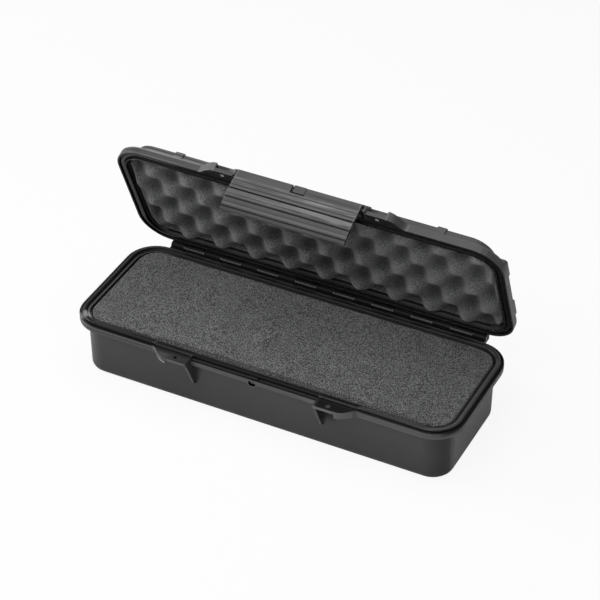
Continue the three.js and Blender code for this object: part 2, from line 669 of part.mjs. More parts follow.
// The latch's outline seen from its end: a flat upper plate, then bands with a groove before each
function latchOutline() {
  const face = FRONT_Y - LATCH_FACE_REACH;
  const drop = LATCH_GROOVE_Z - LATCH_TIP_Z;
  const points = [
    [face + LATCH_THICK, LATCH_TOP_Z - LATCH_THICK / 2],
    [face + LATCH_THICK / 2, LATCH_TOP_Z],
    [face, LATCH_TOP_Z - LATCH_THICK / 2],
    [face, LATCH_GROOVE_Z + LATCH_BAND_ROUND],
    [face + LATCH_BAND_BULGE, LATCH_GROOVE_Z + FIT_GAP],
  ];
  for (let band = 1; band < LATCH_BAND_SHARES.length; band += 1) {
    const top = LATCH_BAND_SHARES[band - 1];
    const length = LATCH_BAND_SHARES[band] - top;
    for (let i = band === 1 ? 0 : 1; i <= RIB_STEPS; i += 1) {
      const share = top + length * (1 - Math.cos(Math.PI * i / RIB_STEPS)) / 2;
      const bulge = LATCH_BAND_BULGE * Math.sqrt(Math.sin(Math.PI * i / RIB_STEPS));
      points.push([face + ribSweep(share) + FIT_GAP - bulge, LATCH_GROOVE_Z - drop * share]);
    }
  }
  for (let i = 0; i <= BACK_STEPS; i += 1) {
    const share = 1 - i / BACK_STEPS;
    const z = Math.max(LATCH_GROOVE_Z - drop * share, LATCH_TIP_Z + LATCH_THICK / 2);
    points.push([face + ribSweep(share) + LATCH_THICK, z]);
  }
  return points;
}

// How far the lower half of the latch curves back towards the case
function ribSweep(share) {
  return LATCH_SET_BACK + LATCH_CURL * share * share;
}

function latchLever() {
  const face = FRONT_Y - LATCH_FACE_REACH;
  const back = face + LATCH_THICK;
  let lever = sideProfile(latchOutline(), -LATCH_HALF, LATCH_HALF);
  const bossLength = LATCH_PIN_DEPTH + LUG_THICK;
  const bossFoot = LATCH_PIVOT_Z - LATCH_BOSS_R;
  for (const x0 of [-LATCH_HALF, LATCH_HALF - bossLength]) {
    const x1 = x0 + bossLength;
    lever = lever.add(rod("x", LATCH_BOSS_R, x0, x1, [LATCH_PIVOT_Y, LATCH_PIVOT_Z]));
    lever = lever.add(box(x0, x1, back - FIT_GAP, LATCH_PIVOT_Y, bossFoot, LATCH_PIVOT_Z));
    lever = lever.add(latchHeel(x0, x1));
  }
  for (const x of [-CLAW_X, CLAW_X]) {
    lever = lever.add(latchClaw(x - CLAW_WIDTH / 2, x + CLAW_WIDTH / 2));
  }
  const sides = [LATCH_NOTCH_X - LATCH_NOTCH_HALF, LATCH_NOTCH_X + LATCH_NOTCH_HALF];
  const notchFoot = LATCH_TOP_Z - LATCH_NOTCH_DEPTH;
  const notch = box(...sides, face - FIT_GAP, back + FIT_GAP, notchFoot, LATCH_TOP_Z + FIT_GAP);
  const sweep = rod("x", notchRadius(), ...sides, [LATCH_PIVOT_Y, LATCH_PIVOT_Z]);
  lever = lever.subtract(notch).subtract(sweep);
  return lever.subtract(both((side) => latchPinBore(side, LATCH_PIN_R + PIN_PLAY)));
}

// Rests on the lid's front face, so that the latch can't swing inwards past closed
function latchHeel(x0, x1) {
  const foot = PARTING_Z + EDGE_ROUND;
  return sideProfile([
    [LATCH_PIVOT_Y, foot],
    [FRONT_Y - PART_GAP, foot],
    [FRONT_Y - PART_GAP, LATCH_PIVOT_Z - LATCH_BOSS_R / 2],
    [LATCH_PIVOT_Y, LATCH_PIVOT_Z],
  ], x0, x1);
}

// Hooks under the catch rail of the base
function latchClaw(x0, x1) {
  const back = FRONT_Y - LATCH_FACE_REACH + LATCH_THICK;
  const railFoot = BAY_LEDGE_Z - BAY_RAIL_HEIGHT;
  const tipY = FRONT_Y + LIP_WIDTH;
  return sideProfile([
    [back - FIT_GAP, railFoot - CLAW_ROOT],
    [tipY, railFoot - PART_GAP - CLAW_THICK],
    [tipY, railFoot - PART_GAP],
    [back - FIT_GAP, railFoot - PART_GAP],
  ], x0, x1);
}

function baseFoam() {
  const top = BASE_RIM_Z - FOAM_TOP_DROP;
  const foot = CAVITY_INSET + CAVITY_DRAFT + FOAM_GAP;
  return solid(loft([
    offsetRing(foot + CAVITY_FILLET, FLOOR_THICK + PART_GAP),
    offsetRing(foot, FLOOR_THICK + CAVITY_FILLET),
    offsetRing(CAVITY_INSET + FOAM_GAP, top),
  ]));
}

// Egg-crate foam: a block with a wavy face, trimmed to the lid's inside
function lidFoam() {
  const ceiling = LID_TOP_Z - LID_WALL - PART_GAP;
  const insideX = PANEL_INSET_X + LID_WALL + FOAM_GAP;
  const wallY = Math.max(PANEL_INSET_Y + LID_WALL, LID_LIP_INSET + LID_WALL_LEAN);
  const insideY = wallY + FOAM_GAP;
  const corner = PANEL_CORNER - LID_WALL - FOAM_GAP;
  const mouth = LID_LIP_INSET + CAVITY_DRAFT + FOAM_GAP;
  const shoulderZ = BAND_TOP_Z - LID_WALL;
  const inside = (lean, z) => ring(insideX + lean, insideY + lean, corner - lean, z);
  const block = solid(loft([
    offsetRing(mouth, PARTING_Z),
    offsetRing(mouth, shoulderZ - FOAM_GAP),
    inside(0, BAND_TOP_Z - FOAM_GAP),
    inside(PANEL_DRAFT, ceiling - PANEL_ROUND),
    inside(PANEL_DRAFT + PANEL_ROUND, ceiling),
  ]));
  return block.intersect(crateBlock(LID_TOP_Z));
}

// A slab whose lower face rises and falls in diagonal rows
function crateBlock(top) {
  const countX = Math.round(CASE_LENGTH / CRATE_PITCH_X * CRATE_STEPS);
  const countY = Math.round(CASE_DEPTH / CRATE_PITCH_Y * CRATE_STEPS);
  const positions = [];
  const indices = [];
  const columns = countX + 1;
  for (let j = 0; j <= countY; j += 1) {
    for (let i = 0; i <= countX; i += 1) {
      const x = i / countX * CASE_LENGTH - HALF_X;
      const y = j / countY * CASE_DEPTH - HALF_Y;
      positions.push(x, y, crateFace(x, y));
    }
  }
  for (let j = 0; j < countY; j += 1) {
    for (let i = 0; i < countX; i += 1) {
      const a = j * columns + i;
      indices.push(a, a + columns, a + columns + 1, a, a + columns + 1, a + 1);
    }
  }
  addSlabBack(positions, indices, countX, countY, top);
  return solid(indexed(positions, indices));
}

// Walls and back that close the wavy face into a slab
function addSlabBack(positions, indices, countX, countY, top) {
  const columns = countX + 1;
  const border = [];
  for (let i = 0; i < countX; i += 1) border.push(i);
  for (let j = 0; j < countY; j += 1) border.push(j * columns + countX);
  for (let i = countX; i > 0; i -= 1) border.push(countY * columns + i);
  for (let j = countY; j > 0; j -= 1) border.push(j * columns);
  const start = positions.length / 3;
  for (const k of border) positions.push(positions[3 * k], positions[3 * k + 1], top);
  const centre = positions.length / 3;
  positions.push(0, 0, top);
  border.forEach((low, k) => {
    const next = (k + 1) % border.length;
    indices.push(low, border[next], start + next, low, start + next, start + k);
    indices.push(centre, start + k, start + next);
  });
}

function crateFace(x, y) {
  const along = x - CRATE_START_X + CRATE_SKEW_SHARE * (y - CRATE_START_Y);
  const waveX = Math.cos(2 * Math.PI * along / CRATE_PITCH_X);
  const waveY = Math.cos(2 * Math.PI * (y - CRATE_START_Y) / CRATE_PITCH_Y);
  const edge = Math.min(HALF_X - Math.abs(x), HALF_Y - Math.abs(y)) - LID_LIP_INSET;
  const full = THREE.MathUtils.smoothstep(edge, 0, CRATE_EDGE);
  const height = CRATE_HEIGHT * (CRATE_EDGE_SHARE + (1 - CRATE_EDGE_SHARE) * full);
  return CRATE_PEAK_Z + height * (1 - waveX * waveY) / 2;
}

// The seal: a rounded cord lying in the lid's channel
function lidSeal() {
  const outer = LID_RIM_WIDTH + FIT_GAP;
  const inner = LID_LIP_INSET - LID_LIP_WIDTH - FIT_GAP;
  const low = BASE_RIM_Z + BEAD_RISE + FIT_GAP;
  const high = LID_SEAL_TOP_Z - SEAL_GAP;
  const profile = [
    [inner, high],
    [inner, low + SEAL_ROUND],
    [inner - SEAL_ROUND, low],
    [outer + SEAL_ROUND, low],
    [outer, low + SEAL_ROUND],
    [outer, high],
  ];
  return solid(closedLoft(profile.map(([inset, z]) => offsetRing(inset, z))));
}

// Joins rings into a closed loop, the last to the first, with no caps
function closedLoft(rings) {
  const count = rings[0].length;
  const indices = [];
  for (let k = 0; k < rings.length; k += 1) {
    const low = k * count;
    const high = ((k + 1) % rings.length) * count;
    for (let i = 0; i < count; i += 1) {
      const j = (i + 1) % count;
      indices.push(low + i, low + j, high + j, low + i, high + j, high + i);
    }
  }
  return indexed(rings.flat(2), indices);
}

function hingePin(side) {
  const from = PIN_MIDDLE_GAP / 2;
  const to = HINGE_HALF - FIT_GAP;
  return sideRod(side, PIN_R, from, to, [HINGE_Y, HINGE_Z]);
}

function latchPin(side) {
  const from = LATCH_HALF - LATCH_PIN_DEPTH + FIT_GAP;
  const to = LUG_X + LUG_THICK;
  return sideRod(side, LATCH_PIN_R - LATCH_PIN_PLAY, from, to, [LATCH_PIVOT_Y, LATCH_PIVOT_Z]);
}

const SHELL = { color: 0x3b3b3c, roughness: 0.42, metalness: 0 };
const FOAM = { color: 0x343536, roughness: 0.95, metalness: 0 };
const SEAL = { color: 0x101010, roughness: 0.35, metalness: 0 };
const STEEL = { color: 0x8b8d90, roughness: 0.3, metalness: 1 };

function piece(name, manifold, look) {
  const crease = THREE.MathUtils.degToRad(CREASE_DEG);
  const geometry = toCreasedNormals(geometryOf(manifold), crease);
  const mesh = new THREE.Mesh(geometry, new THREE.MeshStandardMaterial(look));
  mesh.name = name;
  return mesh;
}

// Pieces of the lid are drawn closed, then swung open about the hinge
function openLid(meshes) {
  const lid = new THREE.Group();
  lid.name = "lid";
  lid.position.set(0, HINGE_Y, HINGE_Z);
  lid.rotation.x = -THREE.MathUtils.degToRad(LID_OPEN_DEG);
  for (const mesh of meshes) {
    mesh.position.set(0, -HINGE_Y, -HINGE_Z);
    lid.add(mesh);
  }
  return lid;
}

const model = new THREE.Group();
model.name = "hard_case";
model.add(piece("base_shell", baseShell(), SHELL));
model.add(piece("base_foam", baseFoam(), FOAM));
model.add(piece("hinge_pin_left", hingePin(-1), STEEL));
model.add(piece("hinge_pin_right", hingePin(1), STEEL));
model.add(openLid([
  piece("lid_shell", lidShell(), SHELL),
  piece("lid_foam", lidFoam(), FOAM),
  piece("lid_seal", lidSeal(), SEAL),
  piece("latch_pin_left", latchPin(-1), STEEL),
  piece("latch_pin_right", latchPin(1), STEEL),
  piece("latch_lever", latchLever(), SHELL),
]));

export default model;
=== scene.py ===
"""Hard case with its lid open: materials, foam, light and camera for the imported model."""

import json
import math

import bpy
import numpy as np
from mathutils import Matrix, Vector

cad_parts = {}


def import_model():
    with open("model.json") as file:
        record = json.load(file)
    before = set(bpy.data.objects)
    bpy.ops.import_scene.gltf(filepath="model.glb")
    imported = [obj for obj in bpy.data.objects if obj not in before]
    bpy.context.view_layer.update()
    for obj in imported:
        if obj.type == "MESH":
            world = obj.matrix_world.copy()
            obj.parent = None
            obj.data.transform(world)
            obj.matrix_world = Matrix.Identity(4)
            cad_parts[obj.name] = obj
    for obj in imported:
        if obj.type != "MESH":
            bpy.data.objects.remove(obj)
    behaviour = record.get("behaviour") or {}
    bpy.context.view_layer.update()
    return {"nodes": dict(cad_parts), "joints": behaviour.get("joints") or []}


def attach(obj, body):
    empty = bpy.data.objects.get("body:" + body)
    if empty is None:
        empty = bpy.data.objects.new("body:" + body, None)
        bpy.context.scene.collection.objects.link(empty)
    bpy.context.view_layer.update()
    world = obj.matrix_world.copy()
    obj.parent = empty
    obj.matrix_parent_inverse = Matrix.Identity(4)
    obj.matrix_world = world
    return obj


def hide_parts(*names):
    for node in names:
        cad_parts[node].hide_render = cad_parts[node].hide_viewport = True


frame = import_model()

MM = 0.001
JOINTS = {joint["name"]: joint for joint in frame["joints"]}
HINGE = Vector(JOINTS["lid_hinge"]["pos_m"])
OPEN = math.radians(-JOINTS["lid_hinge"]["range_deg"][0])
# Takes a point of the closed lid to where the lid stands in the photograph
LID = (
    Matrix.Translation(HINGE)
    @ Matrix.Rotation(-OPEN, 4, "X")
    @ Matrix.Translation(-HINGE)
)

# Sizes shared with the solids, in millimetres
HALF_X = 270.0
HALF_Y = 98.0
RIM_CORNER = 41.5
LID_TOP_Z = 109.75
WING_FLAT_X = 118.3
WING_BEND = 1.3
BASE_WING = {"reach": 14.4, "curve": 26.7}
LID_WING = {"reach": 12.8, "curve": 26.0}
KNUCKLE_ROW = 208.5
KNUCKLE_PITCH = 27.8

# Places on the shells, in metres; a mask ends softly over twice SOFT unless it says otherwise
SOFT = 0.0004
FRONT_Y = -0.070
HINGE_Y = 0.0980
BAY_HALF = 0.0888
WING_START = 0.0922
CURVE_START = 0.1165
# The wings' holes: where they are, the radius of the base's left hole with its painted shade and of the
# lid's holes with their painted glints, and the radius of the painted light in the base's right hole
HOLE_X = 0.107
HOLE_Y = -0.1054
HOLE_RADIUS = 0.0025
LIT_HOLE_RADIUS = 0.0030
# The catch rail's eye: its middle, half length, the radius of the painted shade in it and the ring of
# painted light round it
EYE_X = -0.0024
EYE_Z = 0.0752
EYE_HALF = 0.0016
EYE_RADIUS = 0.0036
EYE_RING = (0.0038, 0.0052)
# Shape of the painted highlight line along the left wing's skirt: start, length, bend, lowest height,
# rise and half width
SKIRT = {
    "start": 0.1173, "length": 0.0297, "bend": 1.5, "low_z": 0.0777, "rise": 0.0073, "line_half": 0.0011,
}

# Bands of the base's sealing edge in from its outline: from, to and softness, in metres
GROOVE = (0.0018, 0.0062, 0.0003)
SLOPE = (0.0044, 0.0064, 0.0003)
BEAD = (0.0064, 0.0104, 0.0004)
STEP = (0.0104, 0.0140, 0.0003)

# Heights on the closed latch, in metres: shallow lines, and bands of painted highlight and painted shade
# with their softness and tone
LATCH_LINES = (0.0585, 0.0720, 0.0790)
LATCH_LINE_HALF = 0.0007
LATCH_PAINTED_LIGHT = (
    (0.0438, 0.0464, 0.0007, 0.045),
    (0.0676, 0.0702, 0.0004, 0.032),
    (0.0795, 0.0806, 0.0004, 0.040),
)
LATCH_PAINTED_SHADE = (
    (0.0385, 0.0432, 0.0008, 0.28),
    (0.0468, 0.0486, 0.0004, 0.20),
    (0.0530, 0.0545, 0.0003, 0.55),
    (0.0655, 0.0673, 0.0003, 0.55),
)


class Nodes:
    """A short way to write the nodes of a material or a world; called n below."""

    def __init__(self, owner, output="ShaderNodeOutputMaterial"):
        owner.use_nodes = True
        self.owner = owner
        self.tree = owner.node_tree
        self.tree.nodes.clear()
        self.output = self.tree.nodes.new(output)

    def add(self, kind, inputs=None, **settings):
        node = self.tree.nodes.new(kind)
        for key, value in settings.items():
            setattr(node, key, value)
        for key, value in (inputs or {}).items():
            self.put(node, key, value)
        return node

    def put(self, node, key, value):
        if isinstance(value, bpy.types.NodeSocket):
            self.tree.links.new(value, node.inputs[key])
        else:
            node.inputs[key].default_value = value

    def math(self, operation, a, b=0.0, clamp=False):
        node = self.add("ShaderNodeMath", {0: a, 1: b}, operation=operation, use_clamp=clamp)
        return node.outputs[0]

    def ramp(self, value, low, high, to_low=0.0, to_high=1.0):
        """Smooth step from low to high."""
        node = self.add(
            "ShaderNodeMapRange",
            {"Value": value, "From Min": low, "From Max": high, "To Min": to_low, "To Max": to_high},
            interpolation_type="SMOOTHSTEP",
        )
        return node.outputs["Result"]

    def along(self, value, start, length):
        """0 up to the start and 1 from a length further on, straight between them."""
        share = self.math("DIVIDE", self.math("SUBTRACT", value, start), length)
        return self.math("MINIMUM", self.math("MAXIMUM", share, 0.0), 1.0)

    def mix(self, share, first, second):
        node = self.add("ShaderNodeMix", {0: share, 6: first, 7: second}, data_type="RGBA")
        return node.outputs[2]

    def mix_shaders(self, share, first, second):
        return self.add("ShaderNodeMixShader", {0: share, 1: first, 2: second}).outputs[0]

    def both(self, *shares):
        """All of the shares at once: their product."""
        total = shares[0]
        for share in shares[1:]:
            total = self.math("MULTIPLY", total, share)
        return total

    def any(self, *shares):
        """The largest of the shares."""
        total = shares[0]
        for share in shares[1:]:
            total = self.math("MAXIMUM", total, share)
        return total

    def less(self, start, loss, share):
        """The start, less the loss times a share."""
        return self.math("SUBTRACT", start, self.math("MULTIPLY", share, loss))

    def length(self, a, b):
        """Length of the line whose sides are a and b."""
        squares = self.math("ADD", self.math("MULTIPLY", a, a), self.math("MULTIPLY", b, b))
        return self.math("SQRT", squares)

    def within(self, value, low, high, soft=SOFT):
        """1 between low and high, with soft ends."""
        return self.both(self.above(value, low, soft), self.below(value, high, soft))

    def below(self, value, edge, soft=SOFT):
        return self.ramp(value, edge - soft, edge + soft, 1.0, 0.0)

    def above(self, value, edge, soft=SOFT):
        return self.ramp(value, edge - soft, edge + soft)

    def size(self, value):
        """The value without its sign."""
        return self.math("ABSOLUTE", value)

    def noise(self, where, scale, detail=2.0, rough=0.5):
        node = self.add(
            "ShaderNodeTexNoise",
            {"Vector": where, "Scale": scale, "Detail": detail, "Roughness": rough},
        )
        return node.outputs["Fac"]

    def bump(self, height, strength, distance, normal=None):
        inputs = {"Height": height, "Strength": strength, "Distance": distance}
        if normal is not None:
            inputs["Normal"] = normal
        return self.add("ShaderNodeBump", inputs).outputs["Normal"]

    def place(self, closed_lid=False):
        """Coordinates that stay on the piece; on the lid, those of the closed lid."""
        where = self.add("ShaderNodeTexCoord").outputs["Object"]
        if not closed_lid:
            return where
        back = LID.inverted()
        turn = self.add("ShaderNodeMapping", {"Vector": where}, vector_type="POINT")
        turn.inputs["Location"].default_value = back.to_translation()
        turn.inputs["Rotation"].default_value = back.to_euler()
        return turn.outputs["Vector"]

    def split(self, where):
        return self.add("ShaderNodeSeparateXYZ", {"Vector": where}).outputs

    def join(self, xyz):
        return self.add("ShaderNodeCombineXYZ", dict(enumerate(xyz))).outputs[0]

    def stretch(self, where, scale):
        return self.add("ShaderNodeMapping", {"Vector": where, "Scale": scale}).outputs["Vector"]

    def surface(self, inputs):
        return self.add("ShaderNodeBsdfPrincipled", inputs).outputs[0]

    def finish(self, shader):
        self.tree.links.new(shader, self.output.inputs["Surface"])
        return self.owner


def material_nodes(name):
    return Nodes(bpy.data.materials.new(name))


def grey(value, warm=0.0):
    return (value * (1 + warm), value, value * (1 - warm), 1.0)


# Distances on the shells, in metres

def rim_inset(n, x, y):
    """How far a place is in from the rim's outline."""
    beyond_x = n.math("SUBTRACT", n.size(x), (HALF_X - RIM_CORNER) * MM)
    beyond_y = n.math("SUBTRACT", n.size(y), (HALF_Y - RIM_CORNER) * MM)
    far = n.length(n.math("MAXIMUM", beyond_x, 0.0), n.math("MAXIMUM", beyond_y, 0.0))
    near = n.math("MINIMUM", n.math("MAXIMUM", beyond_x, beyond_y), 0.0)
    return n.math("SUBTRACT", n.math("SUBTRACT", RIM_CORNER * MM, far), near)


def wing_inset(n, x, y, reach, curve):
    """How far a place is in from a wing's front edge."""
    along = n.math("POWER", n.along(n.size(x), WING_FLAT_X * MM, curve * MM), WING_BEND)
    wave = n.math("ADD", n.math("COSINE", n.math("MULTIPLY", along, math.pi)), 1.0)
    front = n.math("MULTIPLY", wave, reach * MM / 2)
    return n.math("ADD", n.math("ADD", y, HALF_Y * MM), front)


def hole_distance(n, at, side):
    """How far a place is from the middle of the left (-1) or right (1) wing's hole."""
    return n.length(n.math("SUBTRACT", at.x, side * HOLE_X), n.math("SUBTRACT", at.y, HOLE_Y))


def eye_distance(n, at):
    """How far a place is from the middle line of the catch rail's flat oval eye."""
    beyond = n.math("SUBTRACT", n.size(n.math("SUBTRACT", at.x, EYE_X)), EYE_HALF)
    return n.length(n.math("MAXIMUM", beyond, 0.0), n.math("SUBTRACT", at.z, EYE_Z))


def at_knuckle_gaps(n, x):
    """1 on both sides of each gap between the hinge's knuckles."""
    place = n.math("DIVIDE", n.math("ADD", x, KNUCKLE_ROW * MM), KNUCKLE_PITCH * MM)
    place = n.math("SUBTRACT", n.math("FRACT", n.math("ADD", place, 0.5)), 0.5)
    return n.below(n.size(place), 0.045, 0.015)


class Areas:
    """Where a place lies on a shell: its coordinates, how far it is in, and the sides it is on."""

    def __init__(self, n, xyz, wing):
        self.x, self.y, self.z = xyz
        self.wide = n.size(self.x)
        self.inset = rim_inset(n, self.x, self.y)
        self.wing_edge = wing_inset(n, self.x, self.y, **wing)
        self.right = n.above(self.x, 0.0, 0.001)
        self.left = n.below(self.x, 0.0, 0.001)
        self.hinge = n.above(self.y, HINGE_Y, 0.0005)


class BaseAreas(Areas):
    """The base's sides, ends, wings and bay, and its sealing edge from the outline inwards."""

    def __init__(self, n, xyz):
        super().__init__(n, xyz, BASE_WING)
        self.front = n.below(self.y, FRONT_Y, 0.006)
        self.back = n.above(self.y, -FRONT_Y, 0.006)
        self.left_end = n.below(self.x, -0.225, 0.02)
        self.right_end = n.above(self.x, 0.225, 0.02)
        self.wings = n.both(n.below(self.y, -0.0984, 0.0002), n.above(self.wide, WING_START))
        self.in_bay = n.below(self.wide, BAY_HALF)
        self.beside_bay = n.within(self.wide, 0.0890, 0.1420, 0.001)
        self.front_bay = n.both(self.front, self.in_bay)
        self.front_left = n.both(self.front, n.below(self.x, -0.145, 0.003))
        self.front_right = n.both(self.front, n.above(self.x, 0.145, 0.003))

        self.on_top = n.both(n.above(self.z, 0.0829, 0.0003), n.above(self.inset, 0.0003, 0.0002))
        self.lip = n.both(
            n.above(self.z, 0.0843, 0.0002),
            n.below(self.inset, 0.0022, 0.0003),
            n.above(self.inset, -0.0004),
        )
        self.groove = n.both(self.on_top, n.within(self.inset, *GROOVE))
        self.slope = n.both(self.on_top, n.within(self.inset, *SLOPE))
        self.bead = n.both(self.on_top, n.within(self.inset, *BEAD))
        self.step = n.both(self.on_top, n.within(self.inset, *STEP))


class LidAreas(Areas):
    """The lid's front, rim, raised panel's front edge, and wings with their curved fronts."""

    def __init__(self, n, xyz):
        super().__init__(n, xyz, LID_WING)
        self.front = n.below(self.y, FRONT_Y)
        self.rim = n.below(self.z, 0.0860, 0.0002)
        self.panel = n.both(self.front, n.within(self.inset, 0.0030, 0.0112, 0.0010))
        self.wings = n.both(n.below(self.y, -0.0982, 0.0002), n.above(self.wide, 0.0915))
        self.curve = n.both(self.wings, n.above(self.wide, 0.1180))


class PaintedTones:
    """Gathers painted light and painted shade on a piece; at each place the strongest tone counts."""

    def __init__(self, n):
        self.n = n
        self.lights = 0.0
        self.painted_shades = 0.0

    def light(self, strength, *shares):
        """Painted light where all of the shares hold."""
        self.lights = self.n.any(self.lights, self.n.both(*shares, strength))

    def dark(self, strength, *shares):
        """Painted shade, dark and dull, where all of the shares hold."""
        self.painted_shades = self.n.any(self.painted_shades, self.n.both(*shares, strength))


# Painted light and shade on the base

def base_rim_tones(n, at, tones):
    """Painted light and shade on the sealing edge, side by side: its lip, groove, slope, bead and step.
    """
    tones.light(0.062, at.lip, at.left_end)
    tones.light(0.030, at.lip, at.back)
    tones.light(0.048, n.any(at.bead, at.slope), at.right_end)
    tones.light(0.026, n.any(at.bead, at.step), at.front_right)
    tones.light(0.030, at.step, at.left_end)
    tones.light(0.014, at.step, at.front_bay)

    far_right = n.above(at.x, 0.255, 0.008)
    past_left_corner = n.above(at.x, -0.250, 0.01)
    tones.dark(0.85, at.lip, at.front_left)
    tones.dark(0.78, at.lip, at.front_right)
    tones.dark(0.85, at.lip, far_right)
    tones.dark(1.0, at.groove, n.less(0.45, 0.35, at.front_right))
    tones.dark(0.80, at.groove, at.front_bay)
    tones.dark(0.60, at.groove, at.right_end)
    tones.dark(0.55, at.slope, at.front_right)
    tones.dark(0.85, at.bead, at.left_end)
    tones.dark(0.50, at.bead, at.back)
    tones.dark(0.50, at.step, at.right_end)
    tones.dark(0.60, n.any(at.lip, at.step), at.beside_bay, at.front)
    tones.dark(0.75, n.any(at.bead, at.slope), n.any(at.front_bay, at.beside_bay), at.front)
    tones.dark(0.68, n.any(at.bead, at.slope, at.step), at.front_left, past_left_corner)


def base_glints(n, at, tones):
    """Painted highlights as glints on the bead beside the bay, between the knuckles and at the left
    front corner.
    """
    bead_crest = n.both(n.within(at.z, 0.0846, 0.0862, 0.0002), n.within(at.inset, 0.0036, 0.0050))
    beside_bay = n.both(at.beside_bay, at.front, bead_crest)
    knuckle_top = n.both(n.within(at.z, 0.0866, 0.0888), n.below(at.y, 0.1038))
    knuckles = n.both(at.hinge, at_knuckle_gaps(n, at.x), knuckle_top)
    diagonal = n.math("SUBTRACT", n.math("SUBTRACT", at.x, at.y), (HALF_Y - HALF_X) * MM)
    across_corner = n.within(diagonal, -0.011, 0.007, 0.004)
    corner = n.both(across_corner, n.below(at.x, -0.2405, 0.002), at.front, at.on_top)
    tones.light(0.035, beside_bay)
    tones.light(0.150, knuckles)
    tones.light(0.22, corner, at.bead)
    tones.light(0.24, corner, at.step)
    tones.light(0.13, corner, n.any(at.lip, at.groove))
    return n.any(beside_bay, knuckles, corner)


def base_wing_tones(n, at, tones):
    """The wings' front faces: painted highlights on the edge, the curve, the turn and the corners at the
    bay, and painted shade at the right far end.
    """
    face = n.both(at.wings, n.below(at.wing_edge, 0.0008, 0.0003))
    straight = n.below(at.wide, CURVE_START, 0.002)
    edge = n.both(face, straight, n.within(at.z, 0.0815, 0.0846, 0.0003))
    curved = n.both(face, n.above(at.wide, CURVE_START, 0.002))
    turn = n.within(at.x, 0.1175, 0.1200, 0.0005)
    far_end = n.within(at.wide, 0.1385, 0.1425, 0.0008)
    bay_corner = n.both(n.within(at.wide, BAY_HALF, 0.0925), n.below(at.y, -0.1112, 0.0003))
    tones.light(0.075, edge, at.left)
    tones.light(0.110, edge, at.right)
    tones.light(0.072, curved, at.right)
    tones.light(0.090, face, turn, at.right)
    tones.light(0.030, bay_corner, at.left)
    tones.light(0.080, bay_corner, at.right)
    tones.dark(0.35, face, far_end, at.right)
    base_skirt_tones(n, at, tones, n.both(curved, at.left))


def base_skirt_tones(n, at, tones, curved_left):
    """The left wing's skirt: a painted highlight line that rises along the curve, and painted light on
    the face above it.
    """
    rise = n.math("POWER", n.along(at.wide, SKIRT["start"], SKIRT["length"]), SKIRT["bend"])
    skirt = n.math("ADD", SKIRT["low_z"], n.both(rise, SKIRT["rise"]))
    over_skirt = n.math("SUBTRACT", at.z, skirt)
    tones.light(0.20, curved_left, n.below(n.size(over_skirt), SKIRT["line_half"], 0.0005))
    tones.light(0.030, curved_left, n.above(over_skirt, 0.0))


def base_wing_top_tones(n, at, tones):
    """The wings' tops and holes: painted shade in the left hole, on the inner left top and on the right
    top, and painted light in the right hole and on an outer patch of the left top.
    """
    shelf = n.both(at.wings, n.above(at.z, 0.0806, 0.0002))
    top = n.both(shelf, n.above(at.wing_edge, 0.0010), n.above(at.z, 0.0845, 0.0002))
    outer_patch = n.both(n.within(at.x, -0.132, -0.117, 0.004), n.below(at.y, -0.1035, 0.0015))
    inner_part = n.above(at.y, -0.1010, 0.002)
    hole_left = n.both(shelf, n.below(hole_distance(n, at, -1), HOLE_RADIUS, 0.0002))
    hole_right = n.both(shelf, n.below(hole_distance(n, at, 1), LIT_HOLE_RADIUS, 0.0005))
    tones.light(0.020, top, at.left, outer_patch)
    tones.light(0.055, hole_right)
    tones.dark(1.0, hole_left)
    tones.dark(0.35, top, at.left, inner_part)
    tones.dark(1.0, top, at.right, n.less(0.68, 0.68, hole_right))


def base_flange_tones(n, at, tones):
    """Painted light on the flange round the rim, on its face, lighter to the right, and on its upper
    edge and foot, with painted shade at its right end.
    """
    skin = n.both(n.below(at.inset, 0.0010, 0.0002), n.above(at.inset, -0.0004, 0.0002))
    flange = n.both(n.within(at.z, 0.0757, 0.0848, 0.0003), skin)
    upper_edge = n.both(n.within(at.z, 0.0822, 0.0841), n.above(at.wide, 0.1440, 0.001))
    foot = n.both(flange, n.within(at.z, 0.0762, 0.0788, 0.0008))
    right_end = n.both(n.above(at.x, 0.255, 0.006), n.above(at.z, 0.0818, 0.0006))
    lighter_to_right = n.ramp(at.x, -0.20, 0.10, 0.009, 0.046)
    tones.light(1.0, flange, lighter_to_right, n.below(at.x, 0.252, 0.008))
    tones.light(0.065, flange, upper_edge, n.below(at.x, 0.245, 0.006))
    tones.light(0.030, foot, at.left)
    tones.light(0.066, foot, at.front_right)
    tones.dark(0.75, flange, right_end)


def base_wall_tones(n, at, tones):
    """Painted light and shade on the walls: lighter upwards and to the right, with painted shade at the
    right front corner.
    """
    wall = n.both(n.below(at.z, 0.0745), n.below(at.y, 0.0900))
    lighter_upwards = n.ramp(at.z, 0.030, 0.070, 0.010, 0.020)
    lighter_to_right = n.ramp(at.x, -0.20, 0.12, 0.45, 1.15)
    corner = n.both(n.above(at.x, 0.246, 0.012), n.below(at.y, -0.060, 0.012))
    tones.light(1.0, wall, lighter_upwards, lighter_to_right, n.below(at.x, 0.235, 0.015))
    tones.light(0.046, wall, n.above(at.x, 0.2560, 0.001))
    tones.dark(0.35, corner, n.below(at.z, 0.074))


